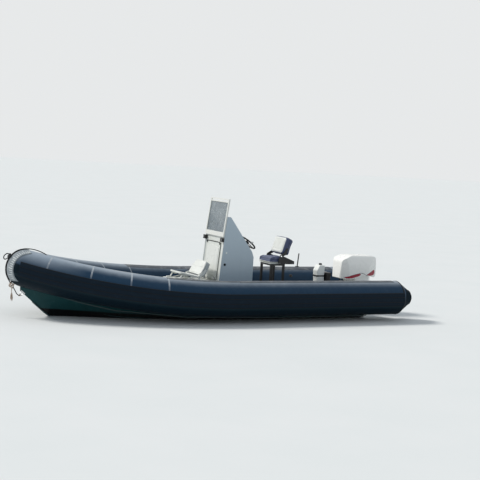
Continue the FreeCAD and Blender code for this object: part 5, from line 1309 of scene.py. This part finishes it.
def build_deck():
    """Hatch and non-slip panels of the sole, the anchor locker's lid and the cleat's foot."""
    kit = Kit("white")
    place = Matrix.Translation((3.78, 0, 0.33))
    kit.lathe([(0.098, 0.0002), (0.125, 0.0002), (0.123, 0.004), (0.112, 0.0065), (0.1, 0.006)], place, 48, ring=True)
    kit.disc(place, 48, (0.0965, 0.0002), (0.0965, 0.005), (0.09, 0.0075), (0.03, 0.0075), (0.028, 0.004))
    kit.use("nonskid")
    for x, y, end, far in ((0.55, -0.62, 1.2, -0.06), (0.72, 0.36, 1.2, 0.62), (1.7, -0.62, 1.98, 0.62),
                           (2.12, 0.38, 3.6, 0.66), (2.12, -0.66, 3.6, -0.38), (3.62, 0.16, 4.02, 0.62),
                           (3.62, -0.62, 4.02, -0.16)):
        kit.block((x, y, 0.3295), (end, far, 0.3325), 0.0012)
    kit.done("deck_panels", "deck_gelcoat")

    lid = Kit("white")
    outline = rounded_loop(0.14, 0.18, 0.03)
    lid.prism([(4.68 + x, y) for x, y in outline], 0.5202, 0.529, 0.003)
    lid.use("nonskid")
    lid.prism([(4.68 + x * 0.84, y * 0.86) for x, y in outline], 0.5285, 0.5312, 0.001)
    lid.use("steel")
    for y in (-0.1, 0.1):
        lid.block((4.528, y - 0.028, 0.5200), (4.566, y + 0.028, 0.5335), 0.002)
    lid.block((4.782, -0.02, 0.5285), (4.812, 0.02, 0.534), 0.002)
    lid.done("anchor_locker_lid", "gelcoat")

    foot = Kit("steel")
    foot.block((4.925, -0.042, 0.5185), (4.976, 0.042, 0.5235), 0.002)
    foot.screws([(4.95 + dx, dy, 0.5235) for dx in (-0.017, 0.017) for dy in (-0.033, 0.033)], UP, 0.0042)
    foot.done("cleat_foot", "stainless")


# Ropes: three strands laid round each cord's own line
def line_of(guide):
    """Points of a cord's spline, in order; the guide itself goes."""
    guide.data.bevel_depth = 0
    mesh = bpy.data.meshes.new_from_object(guide.evaluated_get(bpy.context.evaluated_depsgraph_get()))
    points = [v.co.copy() for v in mesh.vertices]
    bpy.data.meshes.remove(mesh)
    bpy.data.objects.remove(guide)
    return points


def even_line(points, step):
    """The same line with its points an equal step apart."""
    line = [points[0].copy()]
    rest = step
    for a, b in zip(points, points[1:]):
        run = (b - a).length
        if run < 1e-9:
            continue
        way = rest
        while way <= run:
            line.append(a + (b - a) * (way / run))
            way += step
        rest = way - run
    line.append(points[-1].copy())
    return line


def laid_rope(kit, points, diameter):
    """Three strands twisted round a line."""
    steps_a_turn = 9
    line = even_line(points, diameter * 3.2 / steps_a_turn)
    last = len(line) - 1
    for part in range(3):
        path = []
        for i, point in enumerate(line):
            ahead = (line[min(i + 1, last)] - line[max(i - 1, 0)]).normalized()
            side = (ACROSS - ahead * ACROSS.dot(ahead)).normalized()
            turn = 2 * math.pi * (i / steps_a_turn + part / 3)
            path.append(point + (side * math.cos(turn) + ahead.cross(side) * math.sin(turn)) * (diameter * 0.24))
        kit.sweep(path, diameter * 0.262)


def knotted(middle, wide, deep, high, count):
    """A closed line with three crossings about a point."""
    path = []
    for k in range(count):
        t = 2 * math.pi * k / count
        swing = 2 + math.cos(3 * t)
        path.append(Vector(middle) + Vector((swing * math.cos(2 * t) * wide, math.sin(3 * t) * deep,
                                             swing * math.sin(2 * t) * high)))
    return path


def build_ropes():
    """The bow line with its knot and frayed tail, the short line to the eye, and the lashing on the nose."""
    routes = {name: line_of(guide) for name, guide in guides.items()}
    ropes = {}
    for name, solid, _, diameter, *_ in CORDS:
        kit = Kit("tan_rope" if name == "loose_tail" else "rope")
        laid_rope(kit, routes[name], diameter)
        ropes[name] = kit.done(name, "rope_fibre")
        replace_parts(ropes[name], solid)

    knot = Kit("tan_rope")
    knot.sweep(knotted((5.996, 0, 0.487), 0.0125, 0.019, 0.0165, 90), 0.0092, 10, closed=True)
    knot.use("rope")
    for level, size in ((0.524, 0.0125), (0.533, 0.0115)):
        knot.sweep([(6.006 + size * math.cos(a), size * math.sin(a), level + 0.003 * math.sin(a))
                    for a in spread(0, 2 * math.pi, 20)[:-1]], 0.0038, closed=True)
    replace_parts(knot.done("rope_knot_turns", "rope_fibre"), "rope_knot")

    hitch = Kit("tan_rope")
    hitch.sweep(knotted((5.861, 0, 0.328), 0.0042, 0.0085, 0.0042, 70), 0.0042, closed=True)
    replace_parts(hitch.done("hitch_turns", "rope_fibre"), "rope_hitch")

    fibres = Kit("tan_rope")
    dice = random.Random(7)
    end = routes["loose_tail"][-1]
    for _ in range(72):
        turn = dice.uniform(0, 2 * math.pi)
        out = Vector((math.cos(turn), math.sin(turn), 0))
        wide = dice.uniform(0.2, 1.0)
        long = dice.uniform(0.012, 0.050)
        start = end + out * 0.004 + UP * dice.uniform(0.008, 0.075)
        tip = start + out * (0.017 * wide) - UP * (long + 0.03)
        bend = (start + tip) / 2 + out * (0.009 * wide)
        fibres.sweep([start.lerp(bend, s / 4).lerp(bend.lerp(tip, s / 4), s / 4) for s in range(5)],
                     [0.0019, 0.0018, 0.0016, 0.0013, 0.0009], 5)
    fibres.done("tail_fibres", "rope_fibre")

    lashing = Kit("rope")
    middle, along, out = Vector((6.045, 0, 0.932)), Vector((0.61, 0, -0.79)), Vector((0.79, 0, 0.61))
    path = []
    for k in range(100):
        t = 2 * math.pi * k / 20
        size = 0.021 + 0.003 * math.sin(t * 0.37)
        path.append(middle + along * (-0.028 + 0.056 * k / 99)
                    + (out * math.cos(t) + ACROSS * (1.15 * math.sin(t))) * size)
    lashing.sweep(path, 0.0068)
    loop = smooth_line([(6.055, 0.02, 0.955), (6.092, 0.028, 0.968), (6.128, 0.03, 0.948), (6.145, 0.026, 0.912),
                        (6.128, 0.018, 0.882), (6.092, 0.012, 0.889), (6.062, 0.012, 0.916)], 6)
    lashing.sweep(loop, 0.0082, ups=[ACROSS] * len(loop), flat=0.45)
    lashing.done("bow_lashing", "rope_fibre")


def build_stage():
    """A pale floor at the waterline, a backdrop of the same colour, and the lamps."""
    g = Graph("floor_pale")
    tone = g.mixed(g.ramp(g.noise(0.8), 0.3, 0.7), color(229, 232, 232), color(232, 234, 234))
    mesh = bpy.data.meshes.new("floor")
    mesh.from_pydata([(-140, -140, 0), (140, -140, 0), (140, 140, 0), (-140, 140, 0)], [], [(0, 1, 2, 3)])
    mesh.materials.append(g.set(color=tone, rough=0.9, specular=0.1))
    linked("floor", mesh)

    world = scene.world = bpy.data.worlds.new("studio")
    world.use_nodes = True
    nodes, links = world.node_tree.nodes, world.node_tree.links
    nodes.clear()

    def background(tint, strength):
        node = nodes.new("ShaderNodeBackground")
        node.inputs["Color"].default_value = tint
        node.inputs["Strength"].default_value = strength
        return node.outputs[0]

    def larger(first, second):
        node = nodes.new("ShaderNodeMath")
        node.operation = "MAXIMUM"
        links.new(first, node.inputs[0])
        links.new(second, node.inputs[1])
        return node.outputs[0]

    rays = nodes.new("ShaderNodeLightPath").outputs
    seen = larger(larger(rays["Is Camera Ray"], rays["Is Glossy Ray"]), rays["Is Transmission Ray"])
    mix = nodes.new("ShaderNodeMixShader")
    sources = (seen, background((0.86, 0.93, 1.0, 1), 0.52), background((0.80, 0.815, 0.82, 1), 1.0))
    for socket, source in zip(mix.inputs, sources):
        links.new(source, socket)
    links.new(mix.outputs[0], nodes.new("ShaderNodeOutputWorld").inputs["Surface"])

    data = bpy.data.lights.new("sun_lamp", "SUN")
    data.energy = 2.4
    data.angle = math.radians(14)
    data.color = (1.0, 0.97, 0.92)
    linked("sun_lamp", data).rotation_euler = Vector((0.62, -0.46, 0.72)).to_track_quat("Z", "Y").to_euler()


build_tubes()
build_nose()
build_hull()
build_console()
build_helm_seat()
build_forward_seat()
build_motor()
build_stern()
build_deck()
build_ropes()
build_stage()
scene.view_settings.view_transform = "Standard"
